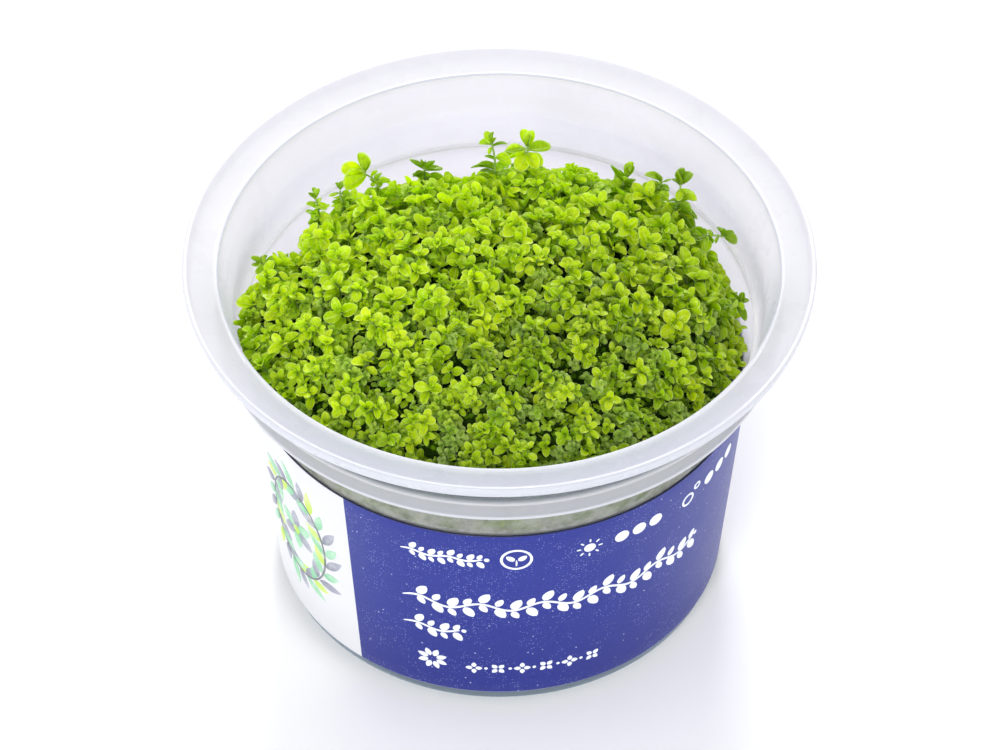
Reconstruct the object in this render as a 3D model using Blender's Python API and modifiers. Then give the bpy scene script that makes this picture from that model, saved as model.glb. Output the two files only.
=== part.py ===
"""Dwarf baby tears in an open tissue-culture cup.

A round milky plastic cup with a dished flange rim, a film label round its
wall, a disc of nutrient gel in it, and a cushion of tiny-leaved creeping
stems that domes over the rim. A dozen taller stems stand clear of the
cushion. Metres, +Z up. The origin is the middle of the underside of the cup.
"""

import math
import random

import bmesh
import bpy
from mathutils import Matrix, Vector

MM = 0.001

# ---- driving dimensions (millimetres) ----
RIM_Z = 65.4            # height of the flange's outer edge over the table
RIM_R = 50.0            # outer radius of the flange
MOUTH_R = 44.3          # inner radius where the flange meets the wall
MOUTH_Z = RIM_Z - 1.25  # the flange is a shallow dish, lower at the mouth
LIP_H = 2.05            # height of the down-turned lip
SKIRT_R = 44.8          # outer radius of the lid-snap skirt at its lower edge
SKIRT_Z = RIM_Z - 12.0  # lower edge of that skirt
LEDGE_R = 41.2          # radius of the small inner ledge
LEDGE_Z = RIM_Z - 13.45
WALL = 0.75             # wall thickness
FLOOR = 0.9             # floor thickness
BASE_R = 36.1           # outer radius at the base
LABEL_TOP_Z = RIM_Z - 21.0
LABEL_BOT_Z = RIM_Z - 61.8
LABEL_TOP_R = 40.2      # outer radius of the label at its top edge
LABEL_BOT_R = 36.75     # and at its bottom edge
LABEL_T = 0.25
GAP = 0.3               # between pieces that touch
GEL_TOP_Z = 16.0
SEAM_DEG = 5.0          # opening between the label's ends, at the back
CUP_SEGMENTS = 56
LEAF_T = 0.5            # thickness of a leaf at its middle
STEM_R = 0.42
POCKET_R = 0.85         # hole in the cushion round a tall stem's foot
POCKET_DEPTH = 3.2

random.seed(11)


# ---- scene ----
for old in list(bpy.data.objects):
    bpy.data.objects.remove(old)

parts = bpy.data.collections.new("dwarf_baby_tears")
bpy.context.scene.collection.children.link(parts)
helpers = bpy.data.collections.new("cutters")
bpy.context.scene.collection.children.link(helpers)


def material(name, colour, roughness, metallic=0.0):
    mat = bpy.data.materials.new(name)
    mat.use_nodes = True
    bsdf = mat.node_tree.nodes["Principled BSDF"]
    bsdf.inputs["Base Color"].default_value = (*colour, 1.0)
    bsdf.inputs["Roughness"].default_value = roughness
    bsdf.inputs["Metallic"].default_value = metallic
    mat.diffuse_color = (*colour, 1.0)
    return mat


def place(name, mesh, mat, collection=parts):
    obj = bpy.data.objects.new(name, mesh)
    obj.data.materials.append(mat)
    collection.objects.link(obj)
    return obj


def as_helper(obj):
    obj.hide_render = True
    obj.display_type = "WIRE"
    return obj


def smooth(mesh, degrees=35):
    mesh.shade_smooth()
    mesh.set_sharp_from_angle(angle=math.radians(degrees))


def turned(name, profile, mat, segments, angle=360.0, turn=0.0):
    """A profile of (radius, height) points in millimetres, turned about Z."""
    mesh = bpy.data.meshes.new(name)
    bm = bmesh.new()
    verts = [bm.verts.new((r * MM, 0.0, z * MM)) for r, z in profile]
    for a, b in zip(verts, verts[1:]):
        bm.edges.new((a, b))
    bm.to_mesh(mesh)
    bm.free()
    obj = place(name, mesh, mat)
    obj.rotation_euler[2] = math.radians(turn)
    screw = obj.modifiers.new("Turn", "SCREW")
    screw.axis = "Z"
    screw.angle = math.radians(angle)
    screw.steps = screw.render_steps = segments
    screw.use_merge_vertices = angle == 360.0
    screw.merge_threshold = 0.00005
    screw.use_smooth_shade = True
    return obj


# ---- cup ----
def wall_outer(z):
    """Outer radius of the tapered wall under the label."""
    t = (z - LABEL_BOT_Z) / (LABEL_TOP_Z - LABEL_BOT_Z)
    return LABEL_BOT_R + t * (LABEL_TOP_R - LABEL_BOT_R) - GAP - LABEL_T


def wall_inner(z):
    """Inner radius of the cup at height z, from the floor to the mouth."""
    rows = [
        (LABEL_BOT_Z, wall_outer(LABEL_BOT_Z) - WALL),
        (LABEL_TOP_Z - 1.0, wall_outer(LABEL_TOP_Z) - WALL),
        (LEDGE_Z - 0.15, LEDGE_R - 0.65),
        (LEDGE_Z, LEDGE_R),
        (RIM_Z - 12.0, 41.55),
        (RIM_Z - 9.6, 42.05),
        (RIM_Z - 7.0, 42.62),
        (RIM_Z - 4.6, 43.2),
        (RIM_Z - 2.6, 43.8),
        (MOUTH_Z, MOUTH_R),
    ]
    if z <= rows[0][0]:
        slope = (rows[1][1] - rows[0][1]) / (rows[1][0] - rows[0][0])
        return rows[0][1] + slope * (z - rows[0][0])
    for (z0, r0), (z1, r1) in zip(rows, rows[1:]):
        if z <= z1:
            return r0 + (r1 - r0) * (z - z0) / (z1 - z0)
    return rows[-1][1]


inside = [
    (0.0, FLOOR),
    (wall_inner(FLOOR) - 1.6, FLOOR),
    (wall_inner(FLOOR + 1.6), FLOOR + 1.6),
    (wall_inner(LABEL_TOP_Z - 1.0), LABEL_TOP_Z - 1.0),
    (LEDGE_R - 0.65, LEDGE_Z - 0.15),
    (LEDGE_R, LEDGE_Z),
    (42.05, RIM_Z - 9.6),
    (43.2, RIM_Z - 4.6),
    (MOUTH_R, MOUTH_Z),
]
flange = [
    (RIM_R - 0.2, RIM_Z),
    (RIM_R, RIM_Z - 0.25),
    (RIM_R - 0.45, RIM_Z - LIP_H),
    (RIM_R - 1.15, RIM_Z - LIP_H),
    (RIM_R - 0.95, RIM_Z - 1.0),
]
skirt = [
    (SKIRT_R + 0.7, MOUTH_Z - 0.75),
    (SKIRT_R, SKIRT_Z),
    (SKIRT_R - 0.65, SKIRT_Z),
    (SKIRT_R - 0.1, MOUTH_Z - 1.9),
    (43.2 + WALL, RIM_Z - 4.6),
]
outside = [
    (42.05 + WALL, RIM_Z - 9.6),
    (LEDGE_R + WALL, LEDGE_Z + 0.2),
    (LEDGE_R - 0.1, LEDGE_Z - 0.6),
    (wall_outer(LABEL_TOP_Z) + GAP + LABEL_T + 0.25, LABEL_TOP_Z + 0.55),
    (wall_outer(LABEL_TOP_Z) + 0.05, LABEL_TOP_Z + 0.35),
    (wall_outer(3.0), 3.0),
    (wall_outer(1.0), 1.0),
    (BASE_R - 1.3, 0.0),
    (0.0, 0.0),
]
plastic = material("cup_plastic", (0.80, 0.81, 0.85), 0.35)
turned("cup", inside + flange + skirt + outside, plastic, CUP_SEGMENTS)

# ---- label: an open strip turned round the wall, given its thickness inwards ----
film = material("label_film", (0.055, 0.075, 0.42), 0.45)
label = turned(
    "label",
    [(LABEL_TOP_R, LABEL_TOP_Z), (LABEL_BOT_R, LABEL_BOT_Z)],
    film,
    CUP_SEGMENTS,
    angle=360.0 - SEAM_DEG,
    turn=90.0 + SEAM_DEG / 2,
)
skin = label.modifiers.new("Film", "SOLIDIFY")
skin.thickness = LABEL_T * MM
skin.offset = -1.0
skin.use_even_offset = True

# ---- nutrient gel ----
agar = material("gel", (0.72, 0.76, 0.70), 0.15)
turned(
    "culture_gel",
    [
        (0.0, GEL_TOP_Z),
        (wall_inner(GEL_TOP_Z) - GAP - 0.1, GEL_TOP_Z),
        (wall_inner(FLOOR + 2.2) - GAP - 0.1, FLOOR + 2.2),
        (wall_inner(FLOOR) - 2.4, FLOOR + GAP),
        (0.0, FLOOR + GAP),
    ],
    agar,
    40,
)


# ---- cushion ----
def hummocks(x, y):
    """Low lumps on the cushion, 6 to 15 mm apart, from a few crossed waves."""
    return (
        0.55 * math.sin(0.62 * x + 0.35 * y + 0.4)
        + 0.5 * math.sin(-0.38 * x + 0.71 * y + 1.9)
        + 0.4 * math.sin(0.95 * x - 0.48 * y + 4.1)
        + 0.3 * math.sin(0.31 * x + 1.02 * y + 2.6)
    )


def fall(past, soft):
    """Nothing before an edge line, then a slope of 52 degrees past it."""
    return 1.28 * soft * math.log1p(math.exp(min(past / soft, 40.0)))


def dome(x, y):
    """Height over the rim of the leaf tips at a point in plan, in millimetres.

    The cushion presses on the front and side walls a little under the rim,
    domes in the middle, and falls away before it reaches the back wall."""
    r = math.hypot((x + 0.7) * (1.05 if x > 0 else 1.0), y + 1.0)
    return (
        7.8
        - 13.2 * (r / 41.0) ** 3
        - fall(y - (14.8 - 0.004 * x * x + 0.1 * x), 2.5)
        - fall(x + 0.32 * y - 34.2, 0.9)
        - fall(0.93 * y - x - 39.2, 1.3)
    )


CUSHION_BOTTOM_Z = GEL_TOP_Z + GAP


def cushion_top(x, y):
    return RIM_Z + max(dome(x, y) + hummocks(x, y), -44.0)


def side_radius(z):
    """Radius of the cushion where it presses on the wall, clear of the ledge."""
    r = wall_inner(z) - GAP - 0.2
    if z > LEDGE_Z - 0.15:
        r = min(r, LEDGE_R - 0.65 - GAP - 0.2 + 0.3 * (z - LEDGE_Z + 0.15))
    return r


def cushion_mesh():
    """A sphere's mesh drawn over the cushion's shape, ring by ring: rings over
    the dome, then down the wall, then under the bottom."""
    around, over = 40, 16
    levels = (LEDGE_Z - 0.6, LABEL_TOP_Z - 1.0, CUSHION_BOTTOM_Z + 1.5)
    rings = over + len(levels) + 2
    bm = bmesh.new()
    bmesh.ops.create_uvsphere(bm, u_segments=around, v_segments=rings, radius=1.0)
    for v in bm.verts:
        polar = math.acos(max(-1.0, min(1.0, v.co.z)))
        ring = round(polar / math.pi * rings)
        turn = math.atan2(v.co.y, v.co.x)
        c, s = math.cos(turn), math.sin(turn)
        # The edge of the dome, where its surface meets the cup's wall.
        edge = 42.0
        for _ in range(16):
            edge = 0.5 * edge + 0.5 * side_radius(cushion_top(edge * c, edge * s))
        edge_z = cushion_top(edge * c, edge * s) - 0.9
        if ring <= over:
            share = (ring / over) ** 0.92
            r = edge * share
            # The lumps are rounded off at the wall.
            z = cushion_top(r * c, r * s) - 0.9 * share**14
        elif ring <= over + len(levels):
            step = ring - over - 1
            z = min(levels[step], edge_z - 0.4 * (step + 1))
            r = side_radius(z)
        elif ring == rings:
            r, z = 0.0, CUSHION_BOTTOM_Z
        else:
            r, z = side_radius(CUSHION_BOTTOM_Z) - 1.2, CUSHION_BOTTOM_Z
        v.co = Vector((r * c, r * s, z)) * MM
    bmesh.ops.recalc_face_normals(bm, faces=bm.faces)
    bmesh.ops.triangulate(bm, faces=bm.faces)
    mesh = bpy.data.meshes.new("cushion")
    bm.to_mesh(mesh)
    bm.free()
    return mesh


foliage = material("foliage", (0.22, 0.48, 0.03), 0.5)
cushion = place("cushion", cushion_mesh(), foliage)

# ---- tall sprigs ----
# name, foot in plan (x, y), tip (x, y, height over the rim), way the stem bows
# (x, y), leaf pairs, length of the longest leaf, turn of the first pair.
SPRIGS = [
    ("sprig_01", (-20.4, 11.6), (-22.6, 13.0, 6.8), (0.8, 0.4), 3, 3.6, 20),
    ("sprig_02", (-28.4, 6.4), (-29.3, 7.6, 5.6), (0.3, -0.3), 3, 2.9, 75),
    ("sprig_03", (-25.2, 10.6), (-25.9, 12.2, 3.8), (-0.3, 0.2), 2, 2.5, 40),
    ("sprig_04", (-11.8, 15.2), (-12.0, 16.8, 4.0), (0.2, 0.3), 3, 3.0, 5),
    ("sprig_05", (-0.8, 11.4), (-1.9, 12.8, 13.0), (0.7, 0.0), 3, 2.9, 110),
    ("sprig_06", (4.4, 14.0), (4.2, 15.4, 11.0), (-0.2, 0.2), 3, 3.9, 2),
    ("sprig_07", (19.0, 14.6), (19.6, 16.2, 4.9), (-0.4, 0.2), 3, 3.0, 65),
    ("sprig_08", (24.2, 12.2), (24.8, 13.6, 5.2), (0.3, -0.2), 2, 2.9, 30),
    ("sprig_09", (28.0, 9.4), (29.2, 11.0, 8.0), (0.5, 0.4), 3, 3.1, 100),
    ("sprig_10", (31.2, 4.0), (35.9, 5.0, 0.9), (0.6, 0.6), 2, 3.0, 55),
    ("sprig_11", (35.4, -6.4), (38.2, -4.4, -3.2), (0.4, -0.3), 2, 2.6, 15),
    ("sprig_12", (-35.2, 1.4), (-36.4, 2.4, -1.2), (-0.3, 0.4), 2, 2.6, 85),
]


def stem_points(foot, tip, bow, steps=3):
    """From the bottom of its pocket in the cushion, up and over to the tip."""
    fx, fy = foot
    top = cushion_top(fx, fy)
    low = Vector((fx, fy, top - POCKET_DEPTH + GAP))
    out = Vector((fx, fy, top + 0.9))
    end = Vector((tip[0], tip[1], RIM_Z + tip[2]))
    mid = (out + end) / 2 + Vector((bow[0], bow[1], 0.6))
    points = [low]
    for i in range(steps + 1):
        t = i / steps
        points.append(out * (1 - t) ** 2 + mid * 2 * t * (1 - t) + end * t * t)
    return points


def stem_mesh(points, name):
    """A curve with a round bevel and filled caps, made a mesh and welded."""
    curve = bpy.data.curves.new(name, "CURVE")
    curve.dimensions = "3D"
    curve.bevel_depth = STEM_R * MM
    curve.bevel_resolution = 1
    curve.use_fill_caps = True
    spline = curve.splines.new("POLY")
    spline.points.add(len(points) - 1)
    for sp, p in zip(spline.points, points):
        sp.co = (*(p * MM), 1.0)
    obj = bpy.data.objects.new(name + "_curve", curve)
    helpers.objects.link(obj)
    bpy.context.view_layer.update()
    graph = bpy.context.evaluated_depsgraph_get()
    mesh = bpy.data.meshes.new_from_object(obj.evaluated_get(graph))
    bpy.data.objects.remove(obj)
    bm = bmesh.new()
    bm.from_mesh(mesh)
    bmesh.ops.remove_doubles(bm, verts=bm.verts, dist=0.00001)
    bmesh.ops.recalc_face_normals(bm, faces=bm.faces)
    bm.to_mesh(mesh)
    bm.free()
    mesh.name = name
    return mesh


def leaf_mesh(name, length):
    """A small round leaf along +X: a flattened sphere, cupped upwards."""
    bm = bmesh.new()
    bmesh.ops.create_uvsphere(bm, u_segments=6, v_segments=4, radius=0.5)
    for v in bm.verts:
        along, across, up = v.co.z + 0.5, v.co.y, v.co.x
        wide = 0.78 * (1.0 + 0.25 * (along - 0.5))
        v.co = (
            along * length * MM,
            across * wide * length * MM,
            (up * LEAF_T * 1.15 + (0.10 * (2 * along - 1) ** 2 + 0.35 * across**2) * length * 0.5)
            * MM,
        )
    bmesh.ops.recalc_face_normals(bm, faces=bm.faces)
    mesh = bpy.data.meshes.new(name)
    bm.to_mesh(mesh)
    bm.free()
    return mesh


for name, foot, tip, bow, pairs, longest, turn in SPRIGS:
    points = stem_points(foot, tip, bow)
    sprig = place(name, stem_mesh(points, name), foliage)
    leaves = bpy.data.collections.new(name + "_leaves")
    helpers.children.link(leaves)
    leaves.hide_render = True
    for pair in range(pairs):
        # The top pair sits at the tip; each pair below is turned a right angle.
        share = 1.0 - 0.36 * pair
        index = 1 + share * (len(points) - 2)
        lower = min(int(index), len(points) - 2)
        at = points[lower].lerp(points[lower + 1], index - lower)
        along = (points[lower + 1] - points[lower]).normalized()
        if pair == 0:
            at = at - along * 0.25
        length = longest * (0.82, 1.0, 0.9)[pair]
        lift = math.radians((38, 20, 8)[pair])
        for side in (0, 1):
            spin = math.radians(turn + 90 * pair + 180 * side)
            flat = Matrix.Rotation(spin, 4, "Z") @ Matrix.Rotation(-lift, 4, "Y")
            # Leaves stand square to the stem, half of the way to its lean.
            lean = Vector((0, 0, 1)).rotation_difference(along)
            lean = Matrix.Rotation(0.6 * lean.angle, 4, lean.axis)
            leaf = place(
                f"{name}_leaf_{pair}{'ab'[side]}",
                leaf_mesh(f"{name}_leaf", length),
                foliage,
                leaves,
            )
            leaf.matrix_world = Matrix.Translation(at * MM) @ lean @ flat
            as_helper(leaf)
    union = sprig.modifiers.new("Leaves", "BOOLEAN")
    union.operation = "UNION"
    union.operand_type = "COLLECTION"
    union.collection = leaves
    union.solver = "EXACT"
    # The pocket that the stem's foot stands in.
    bm = bmesh.new()
    bmesh.ops.create_cone(
        bm,
        cap_ends=True,
        segments=6,
        radius1=POCKET_R * MM,
        radius2=POCKET_R * MM,
        depth=(POCKET_DEPTH + 6.0) * MM,
    )
    hole = bpy.data.meshes.new(name + "_pocket")
    bm.to_mesh(hole)
    bm.free()
    pocket = place(name + "_pocket", hole, foliage, helpers)
    low = points[0].z - GAP
    pocket.location = (
        foot[0] * MM,
        foot[1] * MM,
        (low + (POCKET_DEPTH + 6.0) / 2) * MM,
    )
    as_helper(pocket)
    cut = cushion.modifiers.new(name, "BOOLEAN")
    cut.operation = "DIFFERENCE"
    cut.object = pocket
    cut.solver = "EXACT"

for obj in parts.objects:
    if obj.name.startswith(("sprig", "cushion")):
        smooth(obj.data, 50)
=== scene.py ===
"""Looks of the dwarf baby tears in an open tissue-culture cup.

Everything is laid out in millimetres in the part's own frame (+Z up, origin
under the middle of the cup) and written to meshes in metres. The cup, its
label, the gel and the plant are modelled here in fine meshes that stand for
the CAD nodes of the same name.
"""

import math

import bpy
import numpy as np
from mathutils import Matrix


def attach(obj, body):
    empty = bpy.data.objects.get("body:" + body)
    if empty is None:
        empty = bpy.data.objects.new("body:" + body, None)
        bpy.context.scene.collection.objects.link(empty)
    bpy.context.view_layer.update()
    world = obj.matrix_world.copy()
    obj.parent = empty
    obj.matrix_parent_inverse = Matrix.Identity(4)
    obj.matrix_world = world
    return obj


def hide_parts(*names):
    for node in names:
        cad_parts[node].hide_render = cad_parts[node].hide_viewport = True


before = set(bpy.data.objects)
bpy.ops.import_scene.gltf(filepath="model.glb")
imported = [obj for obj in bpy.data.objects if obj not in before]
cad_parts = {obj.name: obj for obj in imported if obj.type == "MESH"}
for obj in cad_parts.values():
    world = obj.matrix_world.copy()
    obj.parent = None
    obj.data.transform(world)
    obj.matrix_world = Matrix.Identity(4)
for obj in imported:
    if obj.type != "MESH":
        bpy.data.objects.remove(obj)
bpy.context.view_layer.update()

MM = 0.001
RNG = np.random.default_rng(2718)

# ---- sizes, as in the part's own source (millimetres) ----
RIM_Z = 65.4
RIM_R = 50.0
MOUTH_R = 44.3
MOUTH_Z = RIM_Z - 1.25
LIP_H = 2.05
SKIRT_R = 44.8
SKIRT_Z = RIM_Z - 12.0
LEDGE_R = 41.2
LEDGE_Z = RIM_Z - 13.45
WALL = 0.75
FLOOR = 0.9
BASE_R = 36.1
LABEL_TOP_Z = RIM_Z - 21.0
LABEL_BOT_Z = RIM_Z - 61.8
LABEL_TOP_R = 40.2
LABEL_BOT_R = 36.75
GAP = 0.3
GEL_TOP_Z = 16.0
SEAM_DEG = 5.0
CUSHION_BOTTOM_Z = GEL_TOP_Z + GAP


def label_radius(z):
    """Outer radius of the label film at height z."""
    t = (z - LABEL_BOT_Z) / (LABEL_TOP_Z - LABEL_BOT_Z)
    return LABEL_BOT_R + t * (LABEL_TOP_R - LABEL_BOT_R)


def wall_outer(z):
    return label_radius(z) - GAP - 0.25


WALL_ROWS = np.array(
    [
        (-20.0, wall_outer(-20.0) - WALL),
        (LABEL_TOP_Z - 1.0, wall_outer(LABEL_TOP_Z) - WALL),
        (LEDGE_Z - 0.15, LEDGE_R - 0.65),
        (LEDGE_Z, LEDGE_R),
        (RIM_Z - 12.0, 41.55),
        (RIM_Z - 9.6, 42.05),
        (RIM_Z - 7.0, 42.62),
        (RIM_Z - 4.6, 43.2),
        (RIM_Z - 2.6, 43.8),
        (MOUTH_Z, MOUTH_R),
        (MOUTH_Z + 0.8, RIM_R - 1.5),
        (MOUTH_Z + 1.2, 60.0),
        (120.0, 61.0),
    ]
)


def wall_inner(z):
    """Inner radius of the cup at height z; far out above the mouth."""
    return np.interp(z, WALL_ROWS[:, 0], WALL_ROWS[:, 1])


# =====================================================================
# Mesh helpers
# =====================================================================
def make_mesh(name, verts, loops, starts, uvs=None, tint=None, smooth_deg=None):
    """A mesh object from flat arrays. loops holds the corners of all faces one
    after another, and starts where each face begins. verts are in mm."""
    mesh = bpy.data.meshes.new(name)
    mesh.vertices.add(len(verts))
    mesh.vertices.foreach_set("co", (np.asarray(verts, np.float32) * MM).ravel())
    mesh.loops.add(len(loops))
    mesh.loops.foreach_set("vertex_index", np.asarray(loops, np.int32))
    mesh.polygons.add(len(starts))
    mesh.polygons.foreach_set("loop_start", np.asarray(starts, np.int32))
    mesh.update(calc_edges=True)
    mesh.shade_smooth()
    for key, uv in (uvs or {}).items():
        layer = mesh.uv_layers.new(name=key)
        layer.data.foreach_set("uv", np.asarray(uv, np.float32).ravel())
    if tint is not None:
        attr = mesh.color_attributes.new("tint", "FLOAT_COLOR", "POINT")
        attr.data.foreach_set("color", np.asarray(tint, np.float32).ravel())
    if smooth_deg is not None:
        mesh.set_sharp_from_angle(angle=math.radians(smooth_deg))
    mesh.validate()
    obj = bpy.data.objects.new(name, mesh)
    bpy.context.scene.collection.objects.link(obj)
    return obj


def settle(obj, mat, stands_for=()):
    """Gives a piece its material, its body and the CAD nodes it stands for."""
    obj.data.materials.append(mat)
    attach(obj, "root")
    if stands_for:
        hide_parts(*stands_for)
    return obj


def rounded(points, steps=3):
    """Rounds the corners of a polyline of (r, z, radius, marks). The marks are
    numbers carried along the profile."""
    out = []
    n = len(points)
    for i, (r, z, rad, *marks) in enumerate(points):
        if rad <= 0 or i in (0, n - 1):
            out.append((r, z, *marks))
            continue
        p = np.array([r, z])
        a = np.array(points[i - 1][:2]) - p
        b = np.array(points[i + 1][:2]) - p
        la, lb = np.linalg.norm(a), np.linalg.norm(b)
        a, b = a / la, b / lb
        half = math.acos(max(-1.0, min(1.0, float(a @ b)))) / 2
        cut = min(rad / math.tan(half), 0.48 * la, 0.48 * lb)
        rad = cut * math.tan(half)
        start, end = p + a * cut, p + b * cut
        centre = p + (a + b) / np.linalg.norm(a + b) * rad / math.sin(half)
        u, v = start - centre, end - centre
        turn = math.atan2(u[0] * v[1] - u[1] * v[0], float(u @ v))
        for k in range(steps + 1):
            t = turn * k / steps
            c, s = math.cos(t), math.sin(t)
            q = centre + np.array([u[0] * c - u[1] * s, u[0] * s + u[1] * c])
            out.append((float(q[0]), float(q[1]), *marks))
    return out


def subdivided(profile, longest):
    """Adds points so that no straight run of the profile is too long."""
    out = [profile[0]]
    for a, b in zip(profile, profile[1:]):
        n = max(1, math.ceil(math.hypot(b[0] - a[0], b[1] - a[1]) / longest))
        for k in range(1, n + 1):
            t = k / n
            out.append(tuple(p + (q - p) * t for p, q in zip(a, b)))
    return out


def lathe(name, profile, segments, start_deg=0.0, sweep_deg=360.0, smooth_deg=None):
    """Turns (r, z, marks) points about Z. The marks go into the tint attribute."""
    full = abs(sweep_deg - 360.0) < 1e-6
    cols = segments if full else segments + 1
    prof = np.array(profile, float)
    ang = np.radians(start_deg + sweep_deg * np.arange(cols) / segments)
    verts, tint, rings = [], [], []
    for r, z, *marks in prof:
        mark = (*marks, 0.0, 0.0)[:3]
        if r < 1e-6:
            rings.append([len(verts)])
            verts.append((0.0, 0.0, z))
            tint.append((*mark, 1))
        else:
            rings.append(list(range(len(verts), len(verts) + cols)))
            for a in ang:
                verts.append((r * math.sin(a), -r * math.cos(a), z))
                tint.append((*mark, 1))
    run = np.concatenate([[0], np.cumsum(np.hypot(*np.diff(prof[:, :2], axis=0).T))])
    run = 0.01 + 0.98 * run / run[-1]
    loops, starts, uv = [], [], []

    def face(corners, coords):
        starts.append(len(loops))
        loops.extend(corners)
        uv.extend(coords)

    for i, (low, high) in enumerate(zip(rings, rings[1:])):
        for j in range(segments):
            k = (j + 1) % cols
            u0, u1 = 0.01 + 0.98 * j / segments, 0.01 + 0.98 * (j + 1) / segments
            v0, v1 = run[i], run[i + 1]
            if len(low) == 1 and len(high) == 1:
                continue
            if len(low) == 1:
                face(
                    [low[0], high[k], high[j]],
                    [((u0 + u1) / 2, v0), (u1, v1), (u0, v1)],
                )
            elif len(high) == 1:
                face(
                    [low[j], low[k], high[0]],
                    [(u0, v0), (u1, v0), ((u0 + u1) / 2, v1)],
                )
            else:
                face(
                    [low[j], low[k], high[k], high[j]],
                    [(u0, v0), (u1, v0), (u1, v1), (u0, v1)],
                )
    return make_mesh(
        name, verts, loops, starts, {"OFBake": uv, "turn": uv}, tint, smooth_deg
    )


# =====================================================================
# Material helpers
# =====================================================================
class Tree:
    """A short way to write node trees."""

    def __init__(self, name):
        self.mat = bpy.data.materials.new(name)
        self.mat.use_nodes = True
        self.nt = self.mat.node_tree
        self.nt.nodes.clear()
        self.out = self.nt.nodes.new("ShaderNodeOutputMaterial")

    def node(self, kind, inputs=None, **props):
        n = self.nt.nodes.new("ShaderNode" + kind)
        for key, value in props.items():
            setattr(n, key, value)
        for key, value in (inputs or {}).items():
            self.put(n, key, value)
        return n

    def put(self, n, key, value):
        socket = n.inputs[key]
        if isinstance(value, bpy.types.NodeSocket):
            self.nt.links.new(value, socket)
        elif isinstance(value, bpy.types.Node):
            self.nt.links.new(value.outputs[0], socket)
        else:
            socket.default_value = value

    def math(self, op, a, b=0.0, c=0.0, clamp=False):
        n = self.node("Math", {0: a, 1: b}, operation=op, use_clamp=clamp)
        if op in ("MULTIPLY_ADD", "SMOOTH_MIN", "SMOOTH_MAX", "COMPARE"):
            self.put(n, 2, c)
        return n.outputs[0]

    def ramp(self, fac, stops, mode="LINEAR"):
        n = self.node("ValToRGB", {0: fac})
        n.color_ramp.interpolation = mode
        e = n.color_ramp.elements
        while len(e) > len(stops):
            e.remove(e[-1])
        while len(e) < len(stops):
            e.new(1.0)
        for el, (pos, col) in zip(e, stops):
            el.position = pos
            el.color = (*col, 1.0) if len(col) == 3 else col
        return n.outputs[0]

    def step(self, value, lo, hi):
        """0 below lo, 1 above hi, a smooth way between."""
        n = self.node(
            "MapRange", {0: value, 1: lo, 2: hi, 3: 0.0, 4: 1.0},
            interpolation_type="SMOOTHSTEP",
        )
        return n.outputs[0]

    def mix(self, fac, a, b, blend="MIX"):
        n = self.node("Mix", data_type="RGBA", blend_type=blend)
        n.clamp_factor = True
        self.put(n, 0, fac)
        self.put(n, 6, a if not isinstance(a, tuple) else (*a[:3], 1.0))
        self.put(n, 7, b if not isinstance(b, tuple) else (*b[:3], 1.0))
        return n.outputs[2]

    def shaders(self, fac, a, b):
        n = self.node("MixShader")
        self.put(n, 0, fac)
        self.nt.links.new(a.outputs[0], n.inputs[1])
        self.nt.links.new(b.outputs[0], n.inputs[2])
        return n

    def noise(self, coords, scale, detail=2.0, rough=0.5):
        n = self.node("TexNoise", {"Scale": scale, "Detail": detail, "Roughness": rough})
        self.put(n, "Vector", coords)
        return n.outputs[0]

    def end(self, shader):
        self.nt.links.new(shader.outputs[0], self.out.inputs[0])
        return self.mat


def srgb(r, g, b):
    """Linear colour of an 8-bit sRGB one."""
    return tuple(
        c / 12.92 if c <= 0.04045 else ((c + 0.055) / 1.055) ** 2.4
        for c in (r / 255, g / 255, b / 255)
    )


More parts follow.
